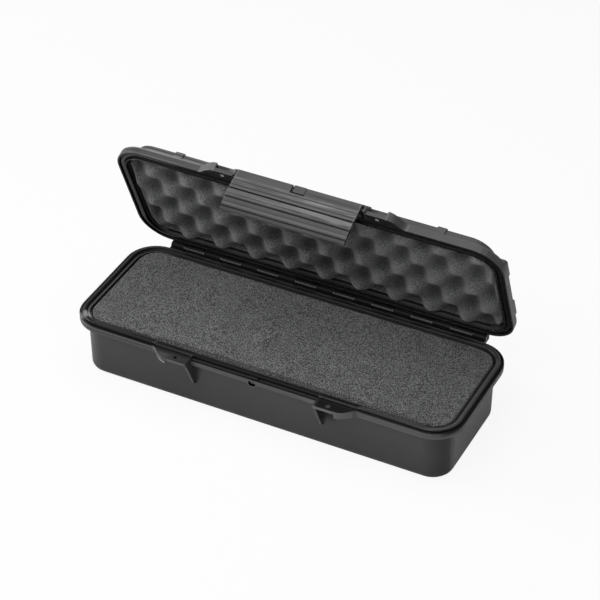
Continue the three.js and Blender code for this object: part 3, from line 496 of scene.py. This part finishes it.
def base_bay_tones(n, at, tones):
    """The latch bay: painted light on the catch rail and in a ring round its eye, and painted shade on
    the rail's top, in the eye and under the right wing.
    """
    rail_front = n.below(at.y, -0.0975)
    rail = n.both(at.in_bay, n.within(at.z, 0.0740, 0.0806), rail_front)
    rail_top = n.both(n.within(at.z, 0.0808, 0.0846), n.within(at.y, -0.0985, -0.0966, 0.0002))
    near_eye = n.both(at.in_bay, n.below(at.y, -0.080))
    eye = eye_distance(n, at)
    under_wing = n.both(n.within(at.x, 0.0915, 0.1080, 0.005), n.within(at.y, -0.115, -0.084))
    shade_height = n.both(n.ramp(at.z, 0.040, 0.056), n.below(at.z, 0.0806))
    tones.light(1.0, rail, n.ramp(at.x, 0.055, 0.085, 0.044, 0.080))
    tones.light(0.050, near_eye, n.within(eye, *EYE_RING), rail_front)
    tones.dark(0.88, at.in_bay, rail_top)
    tones.dark(1.0, near_eye, n.below(eye, EYE_RADIUS, 0.0002))
    tones.dark(0.65, at.right, under_wing, shade_height)


def base_masks(n, xyz):
    """Half polished groove; painted shade on the hinge and in the holes, painted highlights on the edges
    of flange, rail and wings.
    """
    at, tones = BaseAreas(n, xyz), PaintedTones(n)
    base_rim_tones(n, at, tones)
    base_wing_tones(n, at, tones)
    base_wing_top_tones(n, at, tones)
    base_flange_tones(n, at, tones)
    base_wall_tones(n, at, tones)
    base_bay_tones(n, at, tones)
    # Painted shade on the hinge's knuckles
    tones.dark(0.78, at.hinge)
    glints = base_glints(n, at, tones)
    # No painted shade where the painted glints are
    dark = n.both(tones.painted_shades, n.math("SUBTRACT", 1.0, glints))
    return n.both(at.groove, 0.5), tones.lights, dark, None


# Painted light and shade on the lid

def lid_band_tones(n, at, tones):
    """The front of the rim band, with painted highlights on its edges that fade to the right."""
    upper_edge = n.both(n.within(at.z, 0.0946, 0.0969, 0.0003), n.below(at.inset, 0.0020, 0.0003))
    lower_edge = n.both(n.within(at.z, 0.0866, 0.0884), n.below(at.inset, 0.0010))
    fades_to_right = n.ramp(at.x, -0.26, 0.06, 0.17, 0.010)
    tones.light(1.0, at.front, upper_edge, fades_to_right, n.above(at.wide, 0.1445))
    tones.light(0.050, at.front, lower_edge, n.below(at.x, -0.170, 0.02))


def lid_panel_tones(n, at, tones):
    """The raised panel's front edge: bands of painted light and shade to the left, a painted highlight
    patch, and painted shade in the recesses.
    """
    far_left = n.below(at.x, -0.131, 0.002)
    foot = n.within(at.z, 0.0985, 0.1035)
    below_top = n.within(at.z, 0.1038, 0.1060)
    top = n.within(at.z, 0.1061, 0.1100)
    # A patch of painted highlight on the panel's upper edge
    painted_highlight_patch = n.both(n.within(at.x, -0.1100, -0.1030, 0.004), n.within(at.z, 0.1050, 0.1085))
    recess_left = n.within(at.x, -0.129, -0.1100, 0.004)
    recess_right = n.within(at.x, 0.080, 0.0955, 0.006)
    recess_height = n.within(at.z, 0.1010, 0.1080, 0.0006)
    tones.light(1.0, at.panel, foot, n.ramp(at.x, -0.26, -0.05, 0.16, 0.0))
    tones.light(1.0, at.panel, top, far_left, n.ramp(at.x, -0.160, -0.140, 0.045, 0.095))
    tones.light(0.08, at.panel, painted_highlight_patch)
    tones.dark(0.15, at.panel, below_top, far_left)
    tones.dark(0.50, at.panel, recess_height, n.any(recess_left, recess_right))


def lid_rim_tones(n, at, tones):
    """Painted light and shade on the rim's face, the seal's channel and the inner walls behind it."""
    rim_face = n.both(at.rim, n.above(at.inset, 0.0006, 0.0003))
    channel = n.both(n.below(at.z, 0.0892), n.within(at.inset, 0.0020, 0.0140))
    lip_wall = n.both(n.within(at.inset, 0.0104, 0.0124), n.within(at.z, 0.0855, 0.0888))
    back_wall = n.both(n.within(at.y, 0.0835, 0.0856), n.below(at.z, 0.0960))
    tones.light(0.016, lip_wall, at.front)
    tones.light(0.016, back_wall, n.within(at.z, 0.0876, 0.0900))
    tones.dark(0.60, rim_face, at.front)
    tones.dark(0.85, n.any(rim_face, channel), n.below(at.x, -0.235, 0.015))
    tones.dark(0.75, back_wall, n.above(at.z, 0.0904, 0.0003))


def lid_wing_tones(n, at, tones):
    """The wings' curved fronts: painted light on the left and on edges of the right, painted shade on
    the rest of the right and on the left end pad, and painted glints in the holes.
    """
    face = n.both(at.curve, n.below(at.wing_edge, 0.0012))
    foot = n.both(n.below(at.z, 0.0868, 0.0005), n.ramp(at.wide, 0.1180, 0.1290, 0.3, 1.0))
    turn = n.within(at.x, 0.1175, 0.1205, 0.0006)
    far_end = n.both(n.within(at.x, 0.1435, 0.1465, 0.0008), n.below(at.z, 0.0945))
    end_pad = n.both(n.above(at.wing_edge, 0.0014), n.above(at.z, 0.0870))
    hole = n.math("MINIMUM", hole_distance(n, at, -1), hole_distance(n, at, 1))
    tones.light(0.080, face, at.left)
    tones.light(0.15, face, at.left, foot)
    tones.light(0.040, face, at.right, turn)
    tones.light(0.055, at.right, far_end, n.below(at.y, -0.0975))
    tones.light(0.60, at.wings, n.below(hole, HOLE_RADIUS, 0.0002), n.below(at.z, 0.0905))
    tones.dark(0.20, face, at.right, n.above(at.x, 0.1215, 0.001))
    tones.dark(0.65, at.curve, at.left, end_pad)


def lid_cheek_tones(n, at, tones):
    """The cheeks that hold the latch: painted light outside, painted shade inside and behind the latch.
    """
    cheek_tip = n.below(at.y, -0.1125)
    front_face = n.both(n.within(at.wide, 0.0868, 0.0925), n.within(at.z, 0.0880, 0.0950))
    outer_face = n.within(at.wide, 0.0905, 0.0915, 0.0001)
    inner_face = n.within(at.x, 0.0870, 0.0889, 0.0001)
    latch_end = n.ramp(at.x, -0.02, 0.02, 0.0879, 0.0889)
    beside_latch = n.below(n.math("SUBTRACT", at.wide, latch_end), 0.0, 0.0001)
    behind_latch = n.both(beside_latch, n.within(at.y, -0.1135, -0.0978, 0.0002))
    tones.light(0.060, at.left, front_face, cheek_tip)
    tones.light(0.030, outer_face, n.below(at.y, -0.0985))
    tones.dark(0.84, n.any(behind_latch, n.both(inner_face, cheek_tip)))


def lid_hinge_tones(n, at, tones):
    """Knuckles dulled by painted shade, with a faint painted highlight line along them."""
    line = n.both(at.hinge, n.within(at.z, 0.0806, 0.0822, 0.0003), n.below(at.y, 0.1040))
    tones.light(0.035, line)
    tones.dark(1.0, at.hinge, n.less(0.78, 0.78, line))


def lid_masks(n, xyz):
    """Polished rim face; painted shade on the hinge and in the recesses, painted highlights on the edges
    of band and wings.
    """
    at, tones = LidAreas(n, xyz), PaintedTones(n)
    lid_band_tones(n, at, tones)
    lid_panel_tones(n, at, tones)
    lid_rim_tones(n, at, tones)
    lid_wing_tones(n, at, tones)
    lid_cheek_tones(n, at, tones)
    lid_hinge_tones(n, at, tones)
    polished = n.both(at.rim, n.below(at.y, HINGE_Y, 0.0005))
    return polished, tones.lights, tones.painted_shades, None


# Painted light and shade on the latch, whose heights are those on the closed lid

def latch_lines(n, z):
    """1 on the shallow lines along the latch."""
    lines = 0.0
    for height in LATCH_LINES:
        away = n.size(n.math("SUBTRACT", z, height))
        lines = n.any(lines, n.ramp(away, 0.0, LATCH_LINE_HALF, 1.0, 0.0))
    return lines


def latch_streaks_and_sheen(n, xyz, tones):
    """Long streaks in the surface, lightened as painted sheen, strongest on the ribs and to the right,
    with painted light on the left of the middle rib.
    """
    x, _, z = xyz
    streak = n.noise(n.stretch(n.join(xyz), (14.0, 0.0, 260.0)), scale=1.0, detail=3.0, rough=0.6)
    upper_rib = n.within(z, 0.0735, 0.0785, 0.0012)
    middle_rib = n.within(z, 0.0560, 0.0655, 0.0010)
    ledge = n.within(z, 0.0800, 0.0835, 0.0010)
    to_right = n.ramp(x, -0.09, 0.08, 0.25, 1.0)
    ribs = n.any(n.both(n.any(upper_rib, middle_rib), to_right), n.both(ledge, 0.5))
    tones.light(1.0, n.ramp(streak, 0.38, 0.66), n.math("ADD", n.both(ribs, 0.16), 0.012))
    tones.light(0.045, middle_rib, n.below(x, -0.070, 0.010))


def latch_band_tones(n, xyz, tones):
    """Bands of painted highlight and painted shade along the ribs, from the curled lower lip up to the
    top, and painted light on the ends.
    """
    x, y, z = xyz
    for low, high, soft, strength in LATCH_PAINTED_LIGHT:
        tones.light(strength, n.within(z, low, high, soft))
    for low, high, soft, strength in LATCH_PAINTED_SHADE:
        tones.dark(strength, n.within(z, low, high, soft))
    middle_rib = n.within(z, 0.0598, 0.0645, 0.0006)
    under_line = n.within(z, 0.0728, 0.0742, 0.0005)
    top = n.within(z, 0.0852, 0.0886, 0.0008)
    to_left = n.ramp(x, -0.02, 0.03, 1.0, 0.0)
    tones.light(1.0, middle_rib, n.ramp(x, -0.03, 0.03, 0.040, 0.108))
    tones.light(1.0, under_line, n.less(0.032, 0.018, to_left))
    tones.light(0.060, n.above(n.size(x), 0.0838, 0.0003), n.below(y, -0.1150))
    tones.dark(1.0, top, n.ramp(x, 0.0, 0.03, 0.0, 0.30))


def latch_masks(n, xyz):
    """Shallow lines, bumped in and darkened with painted shade, streaks with painted sheen, painted
    bands along the ribs and painted light on the ends.
    """
    tones = PaintedTones(n)
    lines = latch_lines(n, xyz[2])
    tones.dark(0.30, lines)
    latch_streaks_and_sheen(n, xyz, tones)
    latch_band_tones(n, xyz, tones)
    return 0.0, tones.lights, tones.painted_shades, n.both(lines, -1.0)


# Materials

def moulded(name, closed_lid, masks):
    """Satin black moulded plastic: fine grain, faint flow marks, soft edges.

    masks(nodes, xyz) gives, as shares: where it is polished, where highlights are painted on,
    where shade is painted on, dark and dull, and a height for shallow lines or None.
    """
    n = material_nodes(name)
    where = n.place(closed_lid)
    polished, light, dark, height = masks(n, n.split(where))
    cloud = n.noise(where, scale=22.0, detail=4.0, rough=0.6)
    flow = n.noise(n.stretch(where, (6.0, 60.0, 60.0)), scale=4.0, detail=3.0, rough=0.6)
    grain = n.noise(where, scale=1700.0, detail=2.0, rough=0.6)
    tone = n.math("ADD", n.both(cloud, 0.5), n.both(flow, 0.5))
    colour = n.mix(n.ramp(tone, 0.3, 0.7), grey(0.0125, warm=0.005), grey(0.0195, warm=-0.01))
    colour = n.mix(polished, colour, grey(0.006))
    # Painted highlights mix the colour towards white, then painted shade towards black
    colour = n.mix(light, colour, grey(1.0))
    colour = n.mix(dark, colour, grey(0.001))
    soft_edges = n.add("ShaderNodeBevel", {"Radius": 0.0006}, samples=4).outputs["Normal"]
    normal = soft_edges
    if height is not None:
        normal = n.bump(height, strength=1.0, distance=0.0004, normal=soft_edges)
    normal = n.bump(grain, strength=n.less(0.16, 0.12, polished), distance=0.00025, normal=normal)
    shader = n.surface({
        "Base Color": colour,
        "Roughness": n.less(n.ramp(flow, 0.25, 0.75, 0.33, 0.45), 0.13, polished),
        "Normal": normal,
        "IOR": 1.5,
        "Specular IOR Level": n.less(0.5, 0.48, dark),
    })
    return n.finish(shader)


def rubber():
    n = material_nodes("seal_rubber")
    where = n.place()
    tone = n.noise(where, scale=60.0, detail=3.0)
    shader = n.surface({
        "Base Color": n.mix(tone, grey(0.005), grey(0.010)),
        "Roughness": n.ramp(tone, 0.2, 0.8, 0.32, 0.45),
        "Specular IOR Level": 0.22,
        "Normal": n.bump(n.noise(where, scale=900.0), strength=0.1, distance=0.0002),
    })
    return n.finish(shader)


def steel():
    n = material_nodes("pin_steel")
    drawn = n.noise(n.stretch(n.place(), (30.0, 900.0, 900.0)), scale=2.0, detail=3.0)
    shader = n.surface({
        "Base Color": n.mix(drawn, grey(0.42, warm=-0.01), grey(0.62, warm=-0.01)),
        "Metallic": 1.0,
        "Roughness": n.ramp(drawn, 0.2, 0.8, 0.22, 0.4),
        "Normal": n.bump(drawn, strength=0.2, distance=0.0001),
    })
    return n.finish(shader)


def foam(name, low, high, shade, closed_lid=False):
    """Open foam: matt, dusty at grazing angles, with cells as speckle and bump.

    shade(nodes, xyz) gives the share of the colour that is left, where painted shade darkens pits and
    edges.
    """
    n = material_nodes(name)
    where = n.place(closed_lid)
    voronoi = n.add("ShaderNodeTexVoronoi", {"Vector": where, "Scale": 620.0}, feature="F1")
    cells = voronoi.outputs["Distance"]
    fine = n.noise(where, scale=680.0, detail=1.0, rough=0.6)
    patch = n.noise(where, scale=45.0, detail=3.0, rough=0.6)
    spots = n.math("ADD", n.both(fine, 0.85), n.both(cells, 0.15))
    speckle, clouds = n.ramp(spots, 0.42, 0.62), n.ramp(patch, 0.3, 0.7, -0.08, 0.08)
    tone = n.math("ADD", speckle, clouds, clamp=True)
    left = shade(n, n.split(where))
    colour = n.mix(tone, grey(low, warm=-0.015), grey(high, warm=-0.015))
    shader = n.surface({
        "Base Color": n.mix(left, grey(0.0), colour),
        "Roughness": 0.95,
        "Specular IOR Level": 0.18,
        "Normal": n.bump(spots, strength=0.55, distance=0.0006),
        "Sheen Weight": 0.25,
        "Sheen Roughness": 0.6,
    })
    return n.finish(shader)


def base_foam_shade(n, xyz):
    """Painted shade: darker down the sides, in the gap at the right end, along the dented front edge and
    towards both ends.
    """
    x, y, z = xyz
    inset = rim_inset(n, x, y)
    side = n.both(n.below(inset, 0.0176, 0.0003), n.ramp(z, 0.0836, 0.0795))
    right_gap = n.both(side, n.above(x, 0.225, 0.02), n.above(y, -0.072, 0.008))
    # Painted shade where the front edge is dented
    painted_dent_shade = n.any(
        n.both(n.within(inset, 0.0178, 0.0222, 0.0006), n.above(x, -0.150, 0.01)),
        n.both(n.within(inset, 0.0158, 0.0176, 0.0006), n.below(x, -0.150, 0.01)),
    )
    shade = n.any(
        n.both(side, 0.30),
        n.both(right_gap, 0.95),
        n.both(painted_dent_shade, n.below(y, FRONT_Y), n.ramp(x, 0.060, 0.160, 0.62, 0.40)),
        n.ramp(x, 0.06, 0.26, 0.0, 0.18),
        n.ramp(x, -0.10, -0.25, 0.0, 0.18),
    )
    return n.math("SUBTRACT", 1.0, shade)


def lid_foam_shade(n, xyz):
    """Darker with depth, as the pits between the lumps get less light."""
    return n.ramp(xyz[2], 0.0865, 0.0985, 1.0, 0.30)


# Foam blocks, in millimetres. An outline is half its length, half its depth and its corner

RIM = (HALF_X, HALF_Y, RIM_CORNER)
BASE_FOAM = (HALF_X - 17.0, HALF_Y - 17.0, RIM_CORNER - 17.0)
BASE_FOAM_FACE = (HALF_X - 16.0, HALF_Y - 15.4, RIM_CORNER - 16.0)
BASE_FOAM_TOP_Z = 84.25
BASE_FOAM_ROUND = 1.6
# The base foam's face lies a little off the middle; all above this height moves
FACE_FOOT_Z = 79.3
FACE_SHIFT = Vector((1.0, 1.6, 0.0)) * MM
LID_FOAM = (HALF_X - 18.5, HALF_Y - 14.8, RIM_CORNER - 14.8)

# The face's grid has further rows and columns at these distances from its edge
EDGES = [0.0, 0.35, 0.9, 1.7, 3.0]
BASE_GRID = 6.0
LID_GRID = 2.6

# The egg-crate's lumps and pits: their spacing, where one is, heights and sharpness
PITCH_X = 50.8
PITCH_Y = 70.4
START_X = 17.2
START_Y = 13.4
SKEW = 0.235
PEAK_Z = 85.7
DEEP = 15.0
SHARPNESS = 1.15
SWELL = {"size": 120.0, "height": 1.1}
DRIFT = {"start": 20.0, "length": 220.0, "most": 1.2, "shift": 14.0, "by_depth": 0.08}

# How deep the pits may be, which is less at the ends and the back, and the face's round edge
SHALLOW_Z = 91.6
DEEPEST_Z = LID_TOP_Z - 6.5
END_SLOPE = 9.0
BACK_SLOPE = 16.0
BLEND = 0.8
LID_FOAM_ROUND = 2.0
LID_FOAM_ROUND_RISE = 1.4


def spaced(half, step):
    """Places from -half to half, a step apart, with finer ones near the ends."""
    inner = half - EDGES[-1]
    count = max(2, round(2 * inner / step))
    middle = np.linspace(-inner, inner, count + 1)
    outer = np.array([half - edge for edge in EDGES[:-1]])
    return np.concatenate([-outer, middle, outer[::-1]])


def to_outline(x, y, half_x, half_y, corner):
    """Moves the corner squares of a rectangle's grid into a rounded rectangle."""
    corner_x, corner_y = half_x - corner, half_y - corner
    beyond_x = np.maximum(np.abs(x) - corner_x, 0)
    beyond_y = np.maximum(np.abs(y) - corner_y, 0)
    far = np.hypot(beyond_x, beyond_y)
    in_corner = (beyond_x > 0) & (beyond_y > 0)
    share = np.where(in_corner, np.maximum(beyond_x, beyond_y) / np.maximum(far, 1e-9), 1.0)
    moved_x = np.where(in_corner, np.sign(x) * (corner_x + beyond_x * share), x)
    moved_y = np.where(in_corner, np.sign(y) * (corner_y + beyond_y * share), y)
    return moved_x, moved_y


def edge_distance(x, y, half_x, half_y, corner):
    """How far a place is inside a rounded rectangle."""
    beyond_x, beyond_y = np.abs(x) - (half_x - corner), np.abs(y) - (half_y - corner)
    outside = np.hypot(np.maximum(beyond_x, 0), np.maximum(beyond_y, 0))
    return corner - outside - np.minimum(np.maximum(beyond_x, beyond_y), 0)


def mesh_object(name, points, faces, material, smooth=True):
    mesh = bpy.data.meshes.new(name)
    mesh.from_pydata([tuple(point) for point in points], [], faces)
    mesh.update()
    if smooth:
        mesh.shade_smooth()
    obj = bpy.data.objects.new(name, mesh)
    bpy.context.scene.collection.objects.link(obj)
    obj.data.materials.append(material)
    return obj


def grid_faces(rows, columns):
    """The squares of a grid whose points are numbered row by row."""
    corners = [j * columns + i for j in range(rows - 1) for i in range(columns - 1)]
    return [(a, a + 1, a + columns + 1, a + columns) for a in corners]


def grid_border(rows, columns):
    """Row and column of each point once round the grid."""
    return (
        [(0, i) for i in range(columns - 1)]
        + [(j, columns - 1) for j in range(rows - 1)]
        + [(rows - 1, i) for i in range(columns - 1, 0, -1)]
        + [(j, 0) for j in range(rows - 1, 0, -1)]
    )


def band_faces(upper, lower):
    """The squares between two rings of points."""
    pairs = list(zip(upper, lower))
    following = pairs[1:] + pairs[:1]
    return [(c, a, b, d) for (a, b), (c, d) in zip(pairs, following)]


def block(name, outlines, face_z, step, material, place=Matrix.Identity(4), flip=False):
    """A foam block: a finely gridded, shaped face, then rings of sides to a flat back.

    outlines[0] is (half_x, half_y, corner) of the face; each further one adds its height.
    """
    half_x, half_y, corner = outlines[0]
    grid_x, grid_y = np.meshgrid(spaced(half_x, step), spaced(half_y, step))
    face_x, face_y = to_outline(grid_x, grid_y, half_x, half_y, corner)
    points = list(zip(face_x.ravel(), face_y.ravel(), face_z(face_x, face_y).ravel()))
    rows, columns = grid_x.shape
    faces = grid_faces(rows, columns)
    border = grid_border(rows, columns)
    ring = [j * columns + i for j, i in border]
    border_x = np.array([grid_x[j, i] for j, i in border]) / half_x
    border_y = np.array([grid_y[j, i] for j, i in border]) / half_y
    for side_x, side_y, corner, z in outlines[1:]:
        ring_x, ring_y = to_outline(border_x * side_x, border_y * side_y, side_x, side_y, corner)
        upper, start = ring, len(points)
        points += list(zip(ring_x, ring_y, np.full(len(ring_x), z)))
        ring = list(range(start, len(points)))
        faces += band_faces(upper, ring)
    faces.append(tuple(reversed(ring)))
    if flip:
        faces = [tuple(reversed(face)) for face in faces]
    obj = mesh_object(name, np.array(points) * MM, faces, material)
    obj.data.transform(place)
    return obj


def waves(x, y, size, seed, height, count=9):
    """Slow, uneven swells of a few sines, always the same for a seed."""
    random = np.random.default_rng(seed)
    total = np.zeros_like(x)
    for _ in range(count):
        angle = random.uniform(0, 2 * math.pi)
        wave = size * random.uniform(0.6, 1.8)
        phase = random.uniform(0, 2 * math.pi)
        total += np.sin((x * math.cos(angle) + y * math.sin(angle)) * 2 * math.pi / wave + phase)
    return total * height / math.sqrt(count)


def base_foam_face(x, y):
    """Flat with a rounded edge and faint swells."""
    inside = np.clip(edge_distance(x, y, *BASE_FOAM_FACE), 0, BASE_FOAM_ROUND)
    drop = np.sqrt(np.maximum(BASE_FOAM_ROUND**2 - (BASE_FOAM_ROUND - inside) ** 2, 0))
    edge = BASE_FOAM_ROUND - drop
    return BASE_FOAM_TOP_Z - edge + waves(x, y, size=70.0, seed=3, height=0.16)


def crate_share(x, y):
    """How far a place is from a lump's top (0) to a pit's floor (1)."""
    swell_x = x + waves(x, y, seed=5, **SWELL)
    drift = np.clip((x - DRIFT["start"]) / DRIFT["length"], 0, DRIFT["most"])
    drift = drift * (DRIFT["shift"] - DRIFT["by_depth"] * y)
    swell_y = y + drift + waves(x, y, seed=6, **SWELL)
    along = swell_x - START_X + SKEW * (swell_y - START_Y)
    wave_x = np.cos(2 * math.pi * along / PITCH_X)
    wave_y = np.cos(2 * math.pi * (swell_y - START_Y) / PITCH_Y)
    return ((1 - wave_x * wave_y) / 2) ** SHARPNESS


def lid_foam_face(x, y):
    """Egg-crate lumps: broad round tops near the rim, deeper pits between them."""
    half_x, half_y, _ = LID_FOAM
    end = np.clip((half_x - np.abs(x)) / END_SLOPE, 0, 1)
    end = np.minimum(end, np.clip((half_y - y) / BACK_SLOPE, 0, 1))
    limit = SHALLOW_Z + (DEEPEST_Z - SHALLOW_Z) * end
    z = PEAK_Z + DEEP * crate_share(x, y)
    z = -np.log(np.exp(-z / BLEND) + np.exp(-limit / BLEND)) * BLEND
    at_edge = np.clip(1 - edge_distance(x, y, *LID_FOAM) / LID_FOAM_ROUND, 0, 1)
    return z + at_edge**2 * LID_FOAM_ROUND_RISE


def smaller(outline, less, z):
    """An outline that is smaller all round, at a height."""
    return (*(size - less for size in outline), z)


base_block = block(
    "foam_block_base",
    [
        BASE_FOAM_FACE,
        (*BASE_FOAM_FACE, 79.4),
        (*BASE_FOAM, 79.2),
        smaller(BASE_FOAM, 1.0, 10.0),
        smaller(BASE_FOAM, 3.0, 5.5),
        smaller(BASE_FOAM, 7.0, 3.8),
    ],
    base_foam_face, BASE_GRID, foam("foam_base", 0.008, 0.192, base_foam_shade),
)
for vertex in base_block.data.vertices:
    if vertex.co.z > FACE_FOOT_Z * MM:
        vertex.co += FACE_SHIFT
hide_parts("base_foam")
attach(base_block, "base")

lid_block = block(
    "foam_block_lid",
    [
        LID_FOAM,
        smaller(RIM, 14.9, 92.9),
        (HALF_X - 22.8, HALF_Y - 15.6, 27.0, 96.0),
        (HALF_X - 24.4, HALF_Y - 17.2, 25.6, 103.5),
        (HALF_X - 27.0, HALF_Y - 19.6, 23.0, 106.2),
    ],
    lid_foam_face, LID_GRID, foam("foam_lid", 0.060, 0.195, lid_foam_shade, closed_lid=True),
    LID, flip=True,
)
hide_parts("lid_foam")
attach(lid_block, "lid")

# Finishes of the solids that show; the pins are steel
LOOKS = {
    "base_shell": moulded("shell_base", False, base_masks),
    "lid_shell": moulded("shell_lid", True, lid_masks),
    "latch_lever": moulded("shell_latch", True, latch_masks),
    "lid_seal": rubber(),
}
pins = steel()
for name, obj in frame["nodes"].items():
    obj.data.materials.clear()
    obj.data.materials.append(LOOKS.get(name, pins))


# Stage, light and camera

AMBIENT = 0.06
BACK_GLOSS = 1.0
FRONT_GLOSS = 0.65
FLOOR_GLOSS = 0.12
FLOOR_SEEN = 0.90
FLOOR_HALF = 12.0
WHITE = (1, 1, 1, 1)

# The camera in degrees, millimetres and metres
CAMERA_AZIMUTH = 26.7105
CAMERA_HEIGHT = 37.226
CAMERA_PLACE = (1.0710, -2.0969, 1.9298)
CAMERA_LENS = 140.70
CAMERA_SENSOR = 36


def ray_shares(n):
    """How far a ray is one that sees the background, and how far a glossy one."""
    rays = n.add("ShaderNodeLightPath").outputs
    seen = n.math("ADD", rays["Is Camera Ray"], rays["Is Transmission Ray"], clamp=True)
    return seen, rays["Is Glossy Ray"]


def floor():
    """White paper: nearly all glow where it is seen, and a little glow where it is mirrored."""
    n = material_nodes("floor_white")
    colour = n.mix(n.noise(n.place(), scale=3.0), grey(0.90), grey(0.92))
    paper = n.add("ShaderNodeBsdfDiffuse", {"Color": colour}).outputs[0]
    glow = n.add("ShaderNodeEmission", {"Color": WHITE, "Strength": 1.0}).outputs[0]
    seen, gloss = ray_shares(n)
    share = n.math("ADD", n.both(seen, FLOOR_SEEN), n.both(gloss, FLOOR_GLOSS), clamp=True)
    material = n.finish(n.mix_shaders(share, paper, glow))
    corners = [(-1, -1), (1, -1), (1, 1), (-1, 1)]
    points = [(x * FLOOR_HALF, y * FLOOR_HALF, 0) for x, y in corners]
    obj = mesh_object("floor", points, [(0, 1, 2, 3)], material, smooth=False)


def world():
    """A light tent: white all round, dimmer where the photographer stands."""
    n = Nodes(bpy.data.worlds.new("studio"), "ShaderNodeOutputWorld")

    def background(strength):
        return n.add("ShaderNodeBackground", {"Color": WHITE, "Strength": strength}).outputs[0]

    seen, gloss = ray_shares(n)
    direction = n.split(n.add("ShaderNodeTexCoord").outputs["Generated"])
    in_front = n.ramp(direction[1], 0.25, -0.25)
    mirrored = n.mix_shaders(in_front, background(BACK_GLOSS), background(FRONT_GLOSS))
    shader = n.mix_shaders(gloss, background(AMBIENT), mirrored)
    shader = n.mix_shaders(seen, shader, background(1.0))
    bpy.context.scene.world = n.finish(shader)


def lamp(name, place, target, width, depth, power):
    data = bpy.data.lights.new(name, "AREA")
    data.shape = "RECTANGLE"
    data.size = width
    data.size_y = depth
    data.energy = power
    obj = bpy.data.objects.new(name, data)
    bpy.context.scene.collection.objects.link(obj)
    obj.location = place
    aim = Vector(target) - Vector(place)
    obj.rotation_euler = aim.to_track_quat("-Z", "Y").to_euler()


def camera():
    """The photograph's camera, fitted to the case's outlines."""
    azimuth, height = math.radians(CAMERA_AZIMUTH), math.radians(CAMERA_HEIGHT)
    back = Vector((
        math.sin(azimuth) * math.cos(height),
        -math.cos(azimuth) * math.cos(height),
        math.sin(height),
    ))
    right = Vector((math.cos(azimuth), math.sin(azimuth), 0))
    up = back.cross(right)
    data = bpy.data.cameras.new("camera")
    data.lens = CAMERA_LENS
    data.sensor_width = CAMERA_SENSOR
    data.clip_start = 0.05
    data.clip_end = 60
    obj = bpy.data.objects.new("camera", data)
    bpy.context.scene.collection.objects.link(obj)
    turn = Matrix((right, up, back)).transposed().to_4x4()
    obj.matrix_world = Matrix.Translation(CAMERA_PLACE) @ turn
    bpy.context.scene.camera = obj


floor()
world()
lamp("lamp_top", (0.0, 0.1, 2.4), (0.0, 0.0, 0.1), width=2.6, depth=2.0, power=30.0)
lamp("lamp_over_front", (0.0, -1.6, 2.2), (0.0, 0.0, 0.1), width=1.8, depth=1.0, power=26.0)
lamp("lamp_left", (-2.6, -0.6, 1.2), (0.0, 0.0, 0.05), width=1.4, depth=1.2, power=43.0)
camera()
bpy.context.scene.view_settings.view_transform = "Standard"
